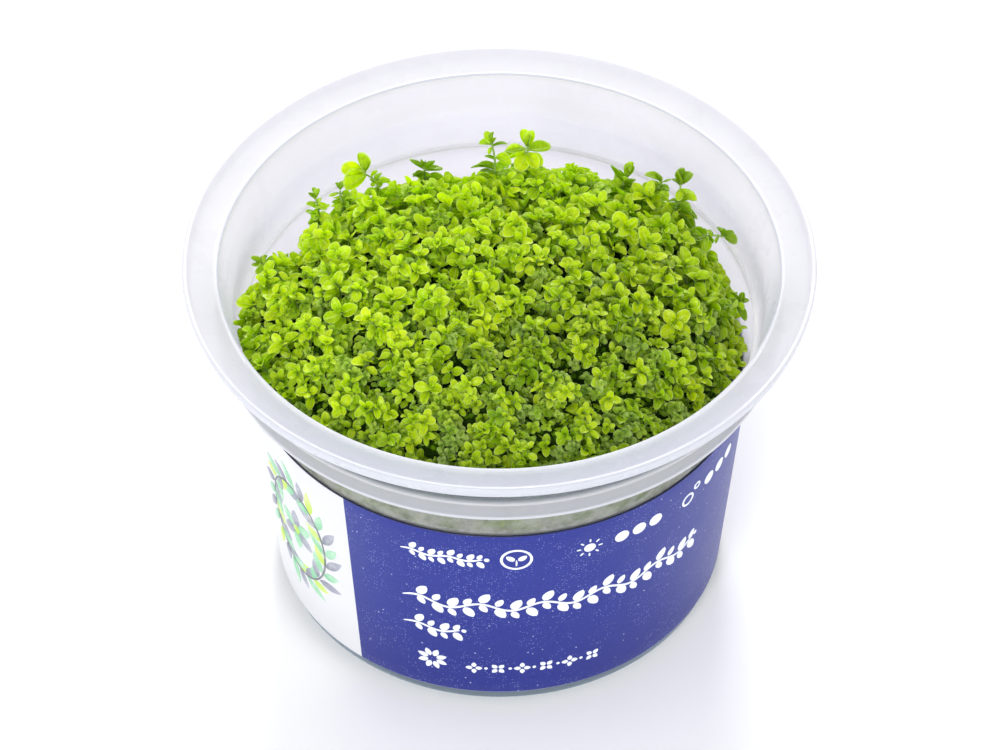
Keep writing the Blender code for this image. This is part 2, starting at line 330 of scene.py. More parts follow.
# ---- milky polypropylene ----
def plastic_material():
    t = Tree("milky_polypropylene")
    coords = t.node("TexCoord").outputs["Object"]
    mark = t.node("SeparateColor", {0: t.node("Attribute", attribute_name="tint").outputs[0]})
    thick = mark.outputs[0]  # 1 on beads, lips and corners, where the plastic is thick
    cloud = t.noise(coords, 130.0, 3.0, 0.55)
    # Faint flow streaks that run up the wall from the middle of the base.
    squashed = t.node("Mapping", {0: coords}, vector_type="POINT")
    squashed.inputs["Scale"].default_value = (1.0, 1.0, 0.06)
    streak = t.noise(squashed.outputs[0], 420.0, 2.0, 0.6)
    clouds = t.math("ADD", t.math("MULTIPLY", cloud, 0.6), t.math("MULTIPLY", streak, 0.4))
    # Along the moulded lines at the ledge and the mouth, a darker grey line is painted as shade. It fades out towards
    # the back.
    shade_seam = t.step(thick, 1.15, 1.75)
    away = t.step(t.node("SeparateXYZ", {0: coords}).outputs[1], 0.006, 0.026)
    shade_seam = t.math("MULTIPLY", shade_seam, t.math("SUBTRACT", 1.0, away))
    thick = t.node("Clamp", {0: thick, 1: -0.7, 2: 1.0}).outputs[0]
    front = t.math("SUBTRACT", 1.0, t.step(t.node("SeparateXYZ", {0: coords}).outputs[1], -0.012, 0.006))
    # The bare band between the skirt and the film is mottled where damp leaves touch it.
    z_mm = t.math("MULTIPLY", t.node("SeparateXYZ", {0: coords}).outputs[2], 1000.0)
    band = t.math(
        "MULTIPLY",
        t.step(z_mm, LABEL_TOP_Z, LABEL_TOP_Z + 0.8),
        t.math("SUBTRACT", 1.0, t.step(z_mm, LEDGE_Z - 1.6, LEDGE_Z - 0.6)),
    )
    band = t.math("MULTIPLY", band, front)
    blotch = t.step(t.noise(coords, 330.0, 4.0, 0.65), 0.36, 0.72)
    colour = t.mix(t.step(clouds, 0.35, 0.65), srgb(237, 236, 238), srgb(240, 239, 241))
    colour = t.mix(t.math("MULTIPLY", shade_seam, 0.75), colour, srgb(160, 160, 168))
    y = t.node("SeparateXYZ", {0: coords}).outputs[1]
    # Thick beads and lips are greyer. At the front they are painted a darker, bluer grey, as shade.
    far = t.math("SUBTRACT", 1.0, t.step(y, -0.046, -0.014))
    bead = t.mix(far, srgb(228, 228, 233), srgb(213, 217, 225))
    colour = t.mix(t.math("MULTIPLY", t.step(thick, 0.65, 1.0), 0.8), colour, bead)
    colour = t.mix(t.math("MULTIPLY", t.math("MULTIPLY", band, blotch), 0.6), colour, srgb(188, 203, 158))
    # The inner face above the film is milkier, but for the bare band at the front. Its white is painted lighter at
    # the front than at the back, as painted light and shade.
    milky = t.math("MULTIPLY", t.node("Clamp", {0: mark.outputs[1]}).outputs[0], t.math("SUBTRACT", 1.0, band))
    milk = t.mix(t.step(y, 0.004, 0.034), srgb(253, 250, 255), srgb(244, 240, 247))
    colour = t.mix(t.math("MULTIPLY", milky, 0.85), colour, milk)
    # The front of the rim is painted a little bluer and darker, as shade. The edge of the mouth is painted as a white
    # highlight there, and as a grey shade line elsewhere.
    flange = t.math("MULTIPLY", t.step(z_mm, MOUTH_Z - 0.1, MOUTH_Z + 0.1), far)
    flange = t.math("MULTIPLY", flange, t.math("SUBTRACT", 1.0, t.step(thick, 0.62, 0.8)))
    colour = t.mix(t.math("MULTIPLY", flange, 0.25), colour, srgb(188, 199, 232))
    edge = t.step(mark.outputs[1], 1.5, 1.95)
    colour = t.mix(t.math("MULTIPLY", edge, t.math("SUBTRACT", 1.0, far)), colour, srgb(216, 217, 224))
    colour = t.mix(t.math("MULTIPLY", edge, far), colour, srgb(253, 253, 255))
    # The front of the gap under the rim, and of the skirt, is painted grey as shade.
    shade = t.math("MULTIPLY", mark.outputs[2], front)
    colour = t.mix(shade, colour, srgb(160, 170, 172))
    # Below the film, the plastic is painted a darker, bluer grey. This is partly the gel seen through it and partly
    # painted shade near the floor.
    foot = t.math("SUBTRACT", 1.0, t.step(z_mm, LABEL_BOT_Z - 0.8, LABEL_BOT_Z + 0.4))
    colour = t.mix(t.math("MULTIPLY", foot, 0.9), colour, srgb(180, 198, 208))
    grain = t.noise(coords, 2600.0, 2.0, 0.5)
    bump = t.node("Bump", {"Strength": 0.12, "Distance": 0.00008, "Height": grain})
    rough = t.math("MULTIPLY_ADD", t.step(cloud, 0.3, 0.7), 0.10, 0.24)
    face = t.node(
        "BsdfPrincipled",
        {"Base Color": colour, "Roughness": rough, "Normal": bump.outputs[0]},
    )
    face.inputs["IOR"].default_value = 1.49
    glow = t.node("BsdfTranslucent", {"Color": t.mix(1.0, colour, (0.985, 0.985, 1.0), blend="MULTIPLY")})
    # Less light gets through the wall where the film is behind it.
    hidden = t.math("MULTIPLY", milky, t.math("SUBTRACT", 1.0, t.step(z_mm, LABEL_TOP_Z - 1.0, LABEL_TOP_Z + 1.0)))
    through = t.math("MULTIPLY_ADD", hidden, -0.53, t.math("MULTIPLY_ADD", thick, -0.26, 0.62))
    through = t.math("MULTIPLY_ADD", milky, 0.08, through)
    body = t.shaders(t.node("Clamp", {0: through}).outputs[0], face, glow)
    # What shows through is also greyed along the painted shade lines and under the rim, where shade is painted.
    pass_on = t.mix(shade_seam, srgb(247, 247, 252), srgb(200, 200, 208))
    pass_on = t.mix(shade, pass_on, srgb(186, 196, 198))
    clear = t.node("BsdfTransparent", {"Color": pass_on})
    share = t.math("MULTIPLY_ADD", thick, -0.42, 0.46)
    share = t.math("ADD", share, t.math("MULTIPLY", band, t.math("MULTIPLY_ADD", blotch, 0.24, -0.18)))
    share = t.math("MULTIPLY", share, t.math("MULTIPLY_ADD", clouds, 0.4, 0.8), clamp=True)
    # The skirt is clearer at the back, and lets the light reach the wall.
    skirt = t.math("MULTIPLY", t.step(z_mm, SKIRT_Z - 2.4, SKIRT_Z - 0.9), t.math("SUBTRACT", 1.0, t.step(z_mm, SKIRT_Z + 3.9, SKIRT_Z + 4.6)))
    share = t.math("ADD", share, t.math("MULTIPLY", t.math("MULTIPLY", skirt, away), 0.42))
    share = t.math("MULTIPLY", share, t.math("MULTIPLY_ADD", milky, -0.9, 1.0), clamp=True)
    return t.end(t.shaders(share, body, clear))


# =====================================================================
# Stage, light and camera
# =====================================================================
def floor_material():
    t = Tree("studio_floor")
    coords = t.node("TexCoord").outputs["Object"]
    tone = t.noise(coords, 9.0, 2.0)
    colour = t.mix(tone, (0.955, 0.955, 0.955), (0.97, 0.97, 0.97))
    return t.end(t.node("BsdfPrincipled", {"Base Color": colour, "Roughness": 0.75}))


def build_stage():
    floor = make_mesh(
        "floor",
        [(-4000, -4000, 0), (4000, -4000, 0), (4000, 4000, 0), (-4000, 4000, 0)],
        [0, 1, 2, 3],
        [0],
    )
    floor.location.z = -0.00002
    floor.data.materials.append(floor_material())

    world = bpy.data.worlds.new("studio")
    bpy.context.scene.world = world
    world.use_nodes = True
    back = world.node_tree.nodes["Background"]
    back.inputs[0].default_value = (0.985, 0.985, 1.0, 1.0)
    # A light tent: the walls around the cup are brighter than its roof.
    nodes, links = world.node_tree.nodes, world.node_tree.links
    sky = nodes.new("ShaderNodeTexCoord")
    parts = nodes.new("ShaderNodeSeparateXYZ")
    links.new(sky.outputs["Generated"], parts.inputs[0])
    ramp = nodes.new("ShaderNodeMapRange")
    ramp.interpolation_type = "SMOOTHSTEP"
    for name, value in (("From Min", 0.05), ("From Max", 0.75), ("To Min", 1.74), ("To Max", 0.70)):
        ramp.inputs[name].default_value = value
    links.new(parts.outputs[2], ramp.inputs["Value"])
    links.new(ramp.outputs["Result"], back.inputs[1])

    def area(name, size, power, place, target=(0, 0, 0.05), colour=(1, 1, 1)):
        data = bpy.data.lights.new(name, "AREA")
        data.shape = "DISK"
        data.size = size
        data.energy = power
        data.color = colour
        lamp = bpy.data.objects.new(name, data)
        bpy.context.scene.collection.objects.link(lamp)
        lamp.location = place
        from mathutils import Vector

        away = Vector(target) - Vector(place)
        lamp.rotation_euler = away.to_track_quat("-Z", "Y").to_euler()

    area("key", 0.42, 5.2, (-0.25, -0.95, 0.70))
    area("back", 0.36, 6.8, (0.02, 0.95, 0.85))

    data = bpy.data.cameras.new("camera")
    data.sensor_width = 36.0
    data.lens = 178.78
    data.clip_start = 0.05
    data.clip_end = 20.0
    camera = bpy.data.objects.new("camera", data)
    bpy.context.scene.collection.objects.link(camera)
    e = math.radians(45.67)
    camera.location = (0.00011, -0.8 * math.cos(e), 0.03907 + 0.8 * math.sin(e))
    camera.rotation_euler = (math.radians(90 - 45.67), 0.0, 0.0)
    bpy.context.scene.camera = camera

    scene = bpy.context.scene
    scene.view_settings.view_transform = "Standard"
    scene.view_settings.look = "None"
    scene.cycles.max_bounces = 12
    scene.cycles.diffuse_bounces = 6
    scene.cycles.transmission_bounces = 8
    scene.cycles.transparent_max_bounces = 20
    scene.cycles.caustics_refractive = False
    scene.cycles.caustics_reflective = False


build_stage()


# =====================================================================
# Cup
# =====================================================================
def cup_profile():
    """(radius, height, corner radius, mark, milk, shade). The mark is 1 where the
    plastic is thick and white, under 0 where it is clearest, and over 1 along a
    moulded line, where a darker line of shade is painted. The milk is where it
    hides what is behind it, and over 1 along the edge of the mouth, which is
    painted as a white highlight at the front and a grey shade line elsewhere.
    The shade is where the gap under the rim and the skirt are painted grey as
    shade, at the front."""
    thin, clear = 0.0, -0.6
    pts = [
        (0.0, FLOOR, 0, thin, 0, 0),
        (wall_inner(FLOOR) - 1.9, FLOOR, 1.6, 0.5, 0, 0),
        (float(wall_inner(FLOOR + 1.9)), FLOOR + 1.9, 1.6, 0.2, 0, 0),
        (float(wall_inner(7.0)), 7.0, 0.3, thin, 0.5, 0),
        (float(wall_inner(LABEL_TOP_Z - 4.0)), LABEL_TOP_Z - 4.0, 0.8, thin, 1, 0),
        (float(wall_inner(LABEL_TOP_Z - 1.0)), LABEL_TOP_Z - 1.0, 0.8, -0.3, 1, 0),
        (LEDGE_R - 0.66, LEDGE_Z - 1.6, 0.2, -0.3, 1, 0),
        (LEDGE_R - 0.66, LEDGE_Z - 0.5, 0.2, 0.2, 1, 0),
        (LEDGE_R - 0.65, LEDGE_Z - 0.15, 0.1, 1.6, 1, 0),
        (LEDGE_R - 0.05, LEDGE_Z, 0.1, 0.6, 1, 0),
        (LEDGE_R + 0.1, LEDGE_Z + 0.45, 0.2, 0.2, 1, 0),
        (42.05, RIM_Z - 9.6, 3.0, 0.2, 1, 0),
        (43.2, RIM_Z - 4.6, 3.0, 0.2, 1, 0),
        (MOUTH_R - 0.24, MOUTH_Z - 0.75, 0.3, 0.2, 1, 0),
        (MOUTH_R - 0.12, MOUTH_Z - 0.28, 0.1, 1.35, 1, 0),
        (MOUTH_R - 0.02, MOUTH_Z + 0.02, 0.12, 0.6, 2, 0),
        (MOUTH_R + 0.22, MOUTH_Z + 0.07, 0.14, 0.6, 2, 0),
        (MOUTH_R + 0.62, MOUTH_Z + 0.04, 0.3, 0.6, 0, 0),
        (MOUTH_R + 1.2, MOUTH_Z + 0.2, 0.4, 0.6, 0, 0),
        (RIM_R - 1.3, RIM_Z - 0.2, 0.6, 0.5, 0, 0),
        (RIM_R - 0.75, RIM_Z - 0.04, 0.4, 0.6, 0, 0),
        (RIM_R - 0.2, RIM_Z, 0.2, 1.0, 0, 0),
        (RIM_R, RIM_Z - 0.35, 0.3, 1.0, 0, 0),
        (RIM_R - 0.45, RIM_Z - LIP_H, 0.3, 1.0, 0, 0),
        (RIM_R - 1.15, RIM_Z - LIP_H, 0.25, 1.0, 0, 0),
        (RIM_R - 1.0, RIM_Z - 1.1, 0.3, 0.6, 0, 0),
        (44.75, MOUTH_Z - 0.75, 0.4, clear, 0, 0.8),
        (44.3, RIM_Z - 3.6, 0.4, clear, 0, 0.9),
        (44.2, RIM_Z - 8.15, 0.2, clear, 0, 0.8),
        (SKIRT_R + 0.33, RIM_Z - 8.5, 0.16, 0.7, 0, 0.1),
        (SKIRT_R + 0.2, RIM_Z - 9.0, 0.3, 0.1, 0, 0.26),
        (SKIRT_R - 0.02, SKIRT_Z + 0.75, 0.3, 0.1, 0, 0.30),
        (SKIRT_R + 0.26, SKIRT_Z + 0.32, 0.16, 0.9, 0, 0),
        (SKIRT_R + 0.2, SKIRT_Z - 0.03, 0.16, 1.0, 0, 0),
        (SKIRT_R - 0.62, SKIRT_Z, 0.12, 0.9, 0, 0),
        (SKIRT_R - 0.5, RIM_Z - 9.2, 0.2, thin, 0, 0),
        (42.05 + WALL + 0.2, RIM_Z - 9.1, 0.2, clear, 0, 0),
        (42.05 + WALL - 0.1, RIM_Z - 10.0, 0.3, clear, 0, 0),
        (LEDGE_R + WALL, LEDGE_Z + 0.2, 0.3, 0.1, 0, 0),
        (LEDGE_R - 0.1, LEDGE_Z - 0.6, 0.4, -0.2, 0, 0),
        (wall_outer(LABEL_TOP_Z) + 0.55, LABEL_TOP_Z + 0.7, 0.4, -0.2, 0, 0),
        (wall_outer(LABEL_TOP_Z) + 0.05, LABEL_TOP_Z + 0.1, 0.3, -0.2, 0, 0),
        (wall_outer(LABEL_TOP_Z - 4.0), LABEL_TOP_Z - 4.0, 0.5, thin, 0, 0),
        (wall_outer(3.6), 3.6, 0.5, -0.2, 0, 0),
        (wall_outer(1.6), 1.6, 0.8, 0.1, 0, 0),
        (BASE_R - 1.5, 0.0, 0.6, 0.7, 0, 0),
        (BASE_R - 3.0, 0.0, 0.3, 0.8, 0, 0),
        (BASE_R - 4.2, 0.42, 0.4, 0.2, 0, 0),
        (0.0, 0.42, 0, thin, 0, 0),
    ]
    return subdivided(rounded(pts), 4.0)


plastic = plastic_material()
settle(lathe("cup_shell", cup_profile(), 176, smooth_deg=60), plastic, ["cup"])


# =====================================================================
# Label film and its print
# =====================================================================
BLUE_FROM = -37.3  # degrees from the front, to the right positive
SEAM_FROM = -180.0 + SEAM_DEG / 2
SEAM_TO = 180.0 - SEAM_DEG / 2
WHITE_FROM = -118.0


def film_material():
    t = Tree("printed_film")
    coords = t.node("TexCoord").outputs["Object"]
    xyz = t.node("SeparateXYZ", {0: coords})
    minus_y = t.math("MULTIPLY", xyz.outputs[1], -1.0)
    turn = t.math("ARCTAN2", xyz.outputs[0], minus_y)  # 0 at the front, radians
    z_mm = t.math("MULTIPLY", xyz.outputs[2], 1000.0)
    white = t.math(
        "MULTIPLY",
        t.step(turn, math.radians(WHITE_FROM - 0.08), math.radians(WHITE_FROM + 0.08)),
        t.step(
            t.math("MULTIPLY", turn, -1.0),
            math.radians(-BLUE_FROM - 0.08), math.radians(-BLUE_FROM + 0.08),
        ),
    )
    tone = t.noise(coords, 45.0, 3.0)
    blue = t.mix(tone, srgb(14, 30, 123), srgb(20, 37, 134))
    # Ink grain and the small bright flecks of dust and misprint on it.
    grain = t.noise(coords, 3800.0, 3.0, 0.7)
    blue = t.mix(t.math("MULTIPLY", t.step(grain, 0.45, 0.8), 0.5), blue, srgb(58, 74, 168))
    # The blue is painted darker towards the bottom, as shade.
    blue = t.mix(t.step(z_mm, 2.0, 34.0), t.mix(1.0, blue, (0.42, 0.58, 0.85), blend="MULTIPLY"), blue)
    drift = t.step(t.noise(coords, 170.0, 2.0, 0.6), 0.44, 0.60)

    def flecks(scale, radius, part):
        cells = t.node("TexVoronoi", {"Vector": coords, "Scale": scale}, feature="F1")
        lone = t.node("SeparateColor", {0: cells.outputs["Color"]})
        dot = t.math("SUBTRACT", 1.0, t.step(cells.outputs["Distance"], 0.6 * radius, radius))
        return t.math("MULTIPLY", dot, t.step(lone.outputs[0], 1.0 - part, 1.01 - part))

    fine = t.math("MULTIPLY", flecks(2700.0, 0.30, 0.55), t.math("MULTIPLY_ADD", drift, 0.55, 0.08))
    blue = t.mix(fine, blue, srgb(150, 162, 220))
    blue = t.mix(t.math("MULTIPLY", flecks(1300.0, 0.22, 0.05), 0.7), blue, srgb(200, 208, 236))
    paper = t.mix(t.step(tone, 0.35, 0.65), srgb(209, 210, 214), srgb(215, 216, 219))
    colour = t.mix(white, blue, paper)
    # A thin dark line is painted along the top edge. It is the shadow in the gap between the film and the cup.
    edge = t.step(z_mm, LABEL_TOP_Z - 0.20, LABEL_TOP_Z - 0.10)
    colour = t.mix(t.math("MULTIPLY", edge, 0.93), colour, srgb(16, 22, 58))
    low = t.math("SUBTRACT", 1.0, t.step(z_mm, LABEL_BOT_Z + 0.08, LABEL_BOT_Z + 0.22))
    colour = t.mix(t.math("MULTIPLY", low, 0.6), colour, srgb(170, 178, 205))
    wrinkle = t.noise(coords, 160.0, 2.0, 0.5)
    height = t.math("ADD", t.math("MULTIPLY", wrinkle, 1.0), t.math("MULTIPLY", grain, 0.05))
    bump = t.node("Bump", {"Strength": 0.25, "Distance": 0.00025, "Height": height})
    rough = t.math("MULTIPLY_ADD", t.step(grain, 0.3, 0.7), 0.10, 0.34)
    face = t.node(
        "BsdfPrincipled", {"Base Color": colour, "Roughness": rough, "Normal": bump.outputs[0]}
    )
    face.inputs["IOR"].default_value = 1.45
    return t.end(face)


def label_profile():
    zb, zt = LABEL_BOT_Z, LABEL_TOP_Z
    rb, rt = LABEL_BOT_R, LABEL_TOP_R
    pts = [
        (rb - 0.24, zb + 0.02, 0, 0.0),
        (rb - 0.06, zb, 0.04, 0.0),
        (rb, zb + 0.08, 0.04, 0.0),
        (rt, zt - 0.08, 0.04, 0.0),
        (rt - 0.06, zt, 0.04, 0.0),
        (rt - 0.24, zt - 0.02, 0, 0.0),
    ]
    out = subdivided(rounded(pts, 2), 2.6)
    return out + [out[0]]


def label_film():
    """The strip: its section turned through 355 degrees, with both ends shut."""
    prof = label_profile()
    obj = lathe("label_film", prof, 240, SEAM_FROM, 360.0 - SEAM_DEG)
    mesh = obj.data
    # The last profile point lies on the first, and the two ends are open: weld and fill.
    import bmesh

    bm = bmesh.new()
    bm.from_mesh(mesh)
    bmesh.ops.remove_doubles(bm, verts=bm.verts, dist=1e-7)
    open_edges = [e for e in bm.edges if e.is_boundary]
    bmesh.ops.holes_fill(bm, edges=open_edges, sides=0)
    bmesh.ops.recalc_face_normals(bm, faces=bm.faces)
    bm.to_mesh(mesh)
    bm.free()
    mesh.shade_smooth()
    mesh.set_sharp_from_angle(angle=math.radians(50))
    return obj


settle(label_film(), film_material(), ["label"])


class Print:
    """Thin closed patches of ink on the film. Shapes are drawn in millimetres:
    a runs along the film from the front to the right, and z is the height."""

    RADIUS = 38.5

    def __init__(self, lift=0.035):
        self.lift = lift
        self.verts, self.loops, self.starts, self.uvs, self.tints = [], [], [], [], []
        self.shapes = 0

    def on_film(self, a, z, lift):
        r = label_radius(z) + lift
        return (r * math.sin(a / self.RADIUS), -r * math.cos(a / self.RADIUS), z)

    def point(self, a, z, lift, tint):
        self.verts.append(self.on_film(a, z, lift))
        self.tints.append((*tint, 1.0))
        return len(self.verts) - 1

    def face(self, corners, coords):
        self.starts.append(len(self.loops))
        self.loops.extend(corners)
        self.uvs.extend((self.shapes, 0.08 + 0.84 * u, 0.08 + 0.84 * v) for u, v in coords)

    def patch(self, ring, tint, tip_tint=None, along=None):
        """A shape that its middle can see all of, anticlockwise from outside."""
        n = len(ring)
        ring = np.array(ring, float)
        mid = ring.mean(0)
        lo, hi = ring.min(0), ring.max(0)
        tip_tint = tip_tint or tint

        def shade(p):
            t = float(np.clip((p - ring[0]) @ along, 0, 1)) if along is not None else 0.0
            return tuple(tint[i] + (tip_tint[i] - tint[i]) * t for i in range(3))

        def uv(p):
            return tuple((p - lo) / (hi - lo))

        # Each shape lies a hair higher than the last, so that none flickers on another.
        for side, lift in ((1, self.lift + 0.0012 * (self.shapes % 40)), (-1, -0.03)):
            rows = []
            for part in (0.5, 1.0):
                pts = mid + (ring - mid) * part
                rows.append(([self.point(p[0], p[1], lift, shade(p)) for p in pts], pts))
            centre = self.point(mid[0], mid[1], lift, shade(mid))
            for i in range(n):
                j = (i + 1) % n
                (inner, ip), (outer, op) = rows
                tri = [centre, inner[i], inner[j]]
                tc = [uv(mid), uv(ip[i]), uv(ip[j])]
                quad = [inner[i], outer[i], outer[j], inner[j]]
                qc = [uv(ip[i]), uv(op[i]), uv(op[j]), uv(ip[j])]
                self.face(tri[::side], tc[::side])
                self.face(quad[::side], qc[::side])
            if side > 0:
                top = rows[1]
            else:
                for i in range(n):
                    j = (i + 1) % n
                    a, b, c, d = rows[1][0][i], rows[1][0][j], top[0][j], top[0][i]
                    self.face([a, b, c, d], [uv(ring[i]), uv(ring[j]), uv(ring[j]), uv(ring[i])])
        self.shapes += 1

    def ribbon(self, path, width, tint):
        """A line of one width, tapering at both ends."""
        path = np.array(path, float)
        step = np.gradient(path, axis=0)
        step /= np.linalg.norm(step, axis=1)[:, None]
        across = np.stack([-step[:, 1], step[:, 0]], 1)
        n = len(path)
        ends = np.minimum(np.arange(n), np.arange(n)[::-1])
        half = 0.5 * width * np.clip(0.45 + 0.3 * ends, 0, 1)
        left, right = path + across * half[:, None], path - across * half[:, None]
        over = self.lift + 0.0012 * (self.shapes % 40)
        ids = []
        for i in range(n):
            ids.append(
                [self.point(*q, lift, tint) for lift in (over, -0.03) for q in (right[i], left[i])]
            )
        for i in range(n - 1):
            (tr, tl, br, bl), (tr2, tl2, br2, bl2) = ids[i], ids[i + 1]
            u, w = i / (n - 1), (i + 1) / (n - 1)
            self.face([tr, tr2, tl2, tl], [(u, 0), (w, 0), (w, 1), (u, 1)])
            self.face([bl, bl2, br2, br], [(u, 1), (w, 1), (w, 0), (u, 0)])
            self.face([br, br2, tr2, tr], [(u, 0), (w, 0), (w, 0), (u, 0)])
            self.face([tl, tl2, bl2, bl], [(u, 1), (w, 1), (w, 1), (u, 1)])
        tr, tl, br, bl = ids[0]
        self.face([tr, tl, bl, br], [(0, 0), (0, 1), (0, 1), (0, 0)])
        tr, tl, br, bl = ids[-1]
        self.face([br, bl, tl, tr], [(1, 0), (1, 1), (1, 1), (1, 0)])
        self.shapes += 1

    def dot(self, a, z, r, tint, n=18):
        turn = 2 * math.pi * np.arange(n) / n
        self.patch(np.stack([a + r * np.cos(turn), z + r * np.sin(turn)], 1), tint)

    def circle(self, a, z, r, width, tint, n=28):
        turn = 2 * math.pi * np.arange(n + 4) / n  # its tapered ends overlap
        self.ribbon(np.stack([a + r * np.cos(turn), z + r * np.sin(turn)], 1), width, tint)

    def petal(self, a, z, angle, length, width, tint, tip_tint=None, point=0.75):
        """A leaf from its foot at a, z."""
        t = math.radians(angle)
        u = np.concatenate([np.linspace(0, 1, 9), np.linspace(1, 0, 9)[1:-1]])
        half = 0.5 * width * np.sin(math.pi * u**0.85) ** point
        sign = np.concatenate([-np.ones(9), np.ones(7)])
        x, y = u * length, sign * half
        c, s = math.cos(t), math.sin(t)
        ring = np.stack([a + x * c - y * s, z + x * s + y * c], 1)
        along = np.array([c, s]) / length
        self.patch(ring, tint, tip_tint, along)

    def mesh(self, name):
        side = math.ceil(math.sqrt(self.shapes))
        uv = [((k % side + u) / side, (k // side + v) / side) for k, u, v in self.uvs]
        return make_mesh(
            name, self.verts, self.loops, self.starts, {"OFBake": uv}, self.tints, smooth_deg=40
        )


def ink_material():
    """Matt ink in the colour of each shape, a little uneven like the film under it."""
    t = Tree("printing_ink")
    coords = t.node("TexCoord").outputs["Object"]
    own = t.node("Attribute", attribute_name="tint").outputs[0]
    wash = t.noise(coords, 420.0, 4.0, 0.65)
    grain = t.noise(coords, 3800.0, 3.0, 0.7)
    colour = t.mix(t.math("MULTIPLY", t.step(wash, 0.45, 0.75), 0.35), own, (0.84, 0.85, 0.87))
    colour = t.mix(t.math("MULTIPLY", t.step(grain, 0.55, 0.85), 0.15), colour, (0.55, 0.57, 0.62))
    bump = t.node("Bump", {"Strength": 0.2, "Distance": 0.00003, "Height": grain})
    rough = t.math("MULTIPLY_ADD", t.step(grain, 0.3, 0.7), 0.12, 0.38)
    face = t.node(
        "BsdfPrincipled", {"Base Color": colour, "Roughness": rough, "Normal": bump.outputs[0]}
    )
    face.inputs["IOR"].default_value = 1.45
    return t.end(face)


def rosette(ink, a, z, petals, length, width, tint, turn=0.0, heart=0.0):
    for k in range(petals):
        angle = turn + 360.0 * k / petals
        t = math.radians(angle)
        ink.petal(a + heart * math.cos(t), z + heart * math.sin(t), angle, length, width, tint)


def vine(ink, a0, a1, z, leaf_len, tint, wave=0.55, pitch=4.4):
    """A waving stem with a round leaf on each side of every bend."""
    n = max(8, int((a1 - a0) / 0.6))
    a = np.linspace(a0, a1, n)
    bend = lambda q: z + wave * np.sin(math.pi * (q - a0) / pitch)
    ink.ribbon(np.stack([a, bend(a)], 1), 0.42, tint)
    q = a0 + pitch / 2
    up = 1
    while q < a1 - 0.4:
        top = float(bend(q))
        for lean, side in ((58, 1), (-58, -1)):
            size = leaf_len * (1.0 if side == up else 0.74)
            ink.petal(q + 0.1, top + side * 0.34, lean, size, size * 0.62, tint, point=0.6)
        q += pitch / 2
        up = -up
    ink.dot(a1 + 0.7, float(bend(a1)), 0.42, tint, 12)


def print_label():
    ink = Print()
    white = srgb(232, 238, 244)
    # Pictograms along the top: a sprout, the sun, two bubbles, each with plain dots.
    vine(ink, -15.4, -2.6, 38.2, 1.75, white, 0.3, 3.0)
    ink.circle(2.6, 38.5, 2.3, 0.42, white)
    ink.ribbon([(2.6, 36.9), (2.62, 37.6), (2.6, 38.3)], 0.4, white)
    ink.petal(2.9, 38.2, 42, 1.7, 1.0, white, point=0.6)
    ink.petal(2.3, 38.2, 138, 1.7, 1.0, white, point=0.6)
    ink.dot(14.0, 38.6, 0.95, white)
    for k in range(8):
        t = math.radians(45 * k)
        c, s = math.cos(t), math.sin(t)
        ink.ribbon([(14.0 + q * c, 38.6 + q * s) for q in (1.4, 1.75, 2.1)], 0.42, white)
    for a in (19.4, 22.5, 25.6):
        ink.dot(a, 38.7, 1.22, white)
    ink.circle(32.6, 37.9, 1.15, 0.4, white)
    ink.circle(34.6, 39.7, 0.6, 0.36, white, 20)
    for a in (38.0, 41.2, 44.4):
        ink.dot(a, 38.4, 1.22, white)
    # A leafy garland across the middle, and a shorter one under it.
    vine(ink, -15.6, 35.4, 26.2, 2.7, white, 0.8, 5.0)
    vine(ink, -15.8, -6.4, 19.2, 2.3, white, 0.5, 4.2)
    # A band of small rosettes along the bottom, with a larger one at its start.
    rosette(ink, -11.2, 10.9, 8, 1.9, 1.05, white, 22.5, 0.75)
    for k in range(6):
        rosette(ink, -4.2 + 4.0 * k, 10.0, 4, 1.15, 0.85, white, 45.0 if k % 2 else 0.0, 0.25)
    for k in range(5):
        ink.dot(-2.2 + 4.0 * k, 10.0, 0.3, white, 10)
    # A wreath of plain leaves in soft colours on the white panel.
    mint, grey, lime = srgb(112, 186, 138), srgb(112, 117, 132), srgb(176, 210, 60)
    pale_mint, pale_grey, pale_lime = srgb(166, 214, 180), srgb(166, 169, 184), srgb(208, 230, 130)
    hues = [(mint, pale_mint), (grey, pale_grey), (mint, pale_mint), (lime, pale_lime), (grey, pale_grey)]
    ca, cz, ra, rz = -38.4, 25.2, 7.4, 10.6
    count = 22
    for k in range(count):
        t = 2 * math.pi * k / count
        a, z = ca + ra * math.cos(t), cz + rz * math.sin(t)
        head = math.degrees(math.atan2(rz * math.cos(t), -ra * math.sin(t)))
        for side in (-1, 1):
            base, tip = hues[(k + (side > 0) * 2) % len(hues)]
            long = 4.6 + 0.7 * math.sin(3.1 * k + side)
            away = math.radians(head) + side * math.pi / 2
            ink.petal(
                a + 0.28 * math.cos(away), z + 0.28 * math.sin(away),
                head + side * (40 + 6 * math.sin(1.7 * k)), long, 1.75, base, tip, 0.85,
            )
    ring = 2 * math.pi * np.arange(74) / 70
    ink.ribbon(np.stack([ca + ra * np.cos(ring), cz + rz * np.sin(ring)], 1), 0.36, srgb(96, 104, 110))
    # One open flower stands in the middle of it.
    for k in range(6):
        t = math.radians(60 * k + 30)
        base, tip = ((mint, pale_mint), (grey, pale_grey))[k % 2]
        ink.petal(ca + 0.6 * math.cos(t), cz + 0.6 * math.sin(t), math.degrees(t), 4.0, 2.3, base, tip, 0.7)
    ink.dot(ca, cz, 0.9, lime)
    settle(ink.mesh("label_print"), ink_material(), ["label"])


print_label()


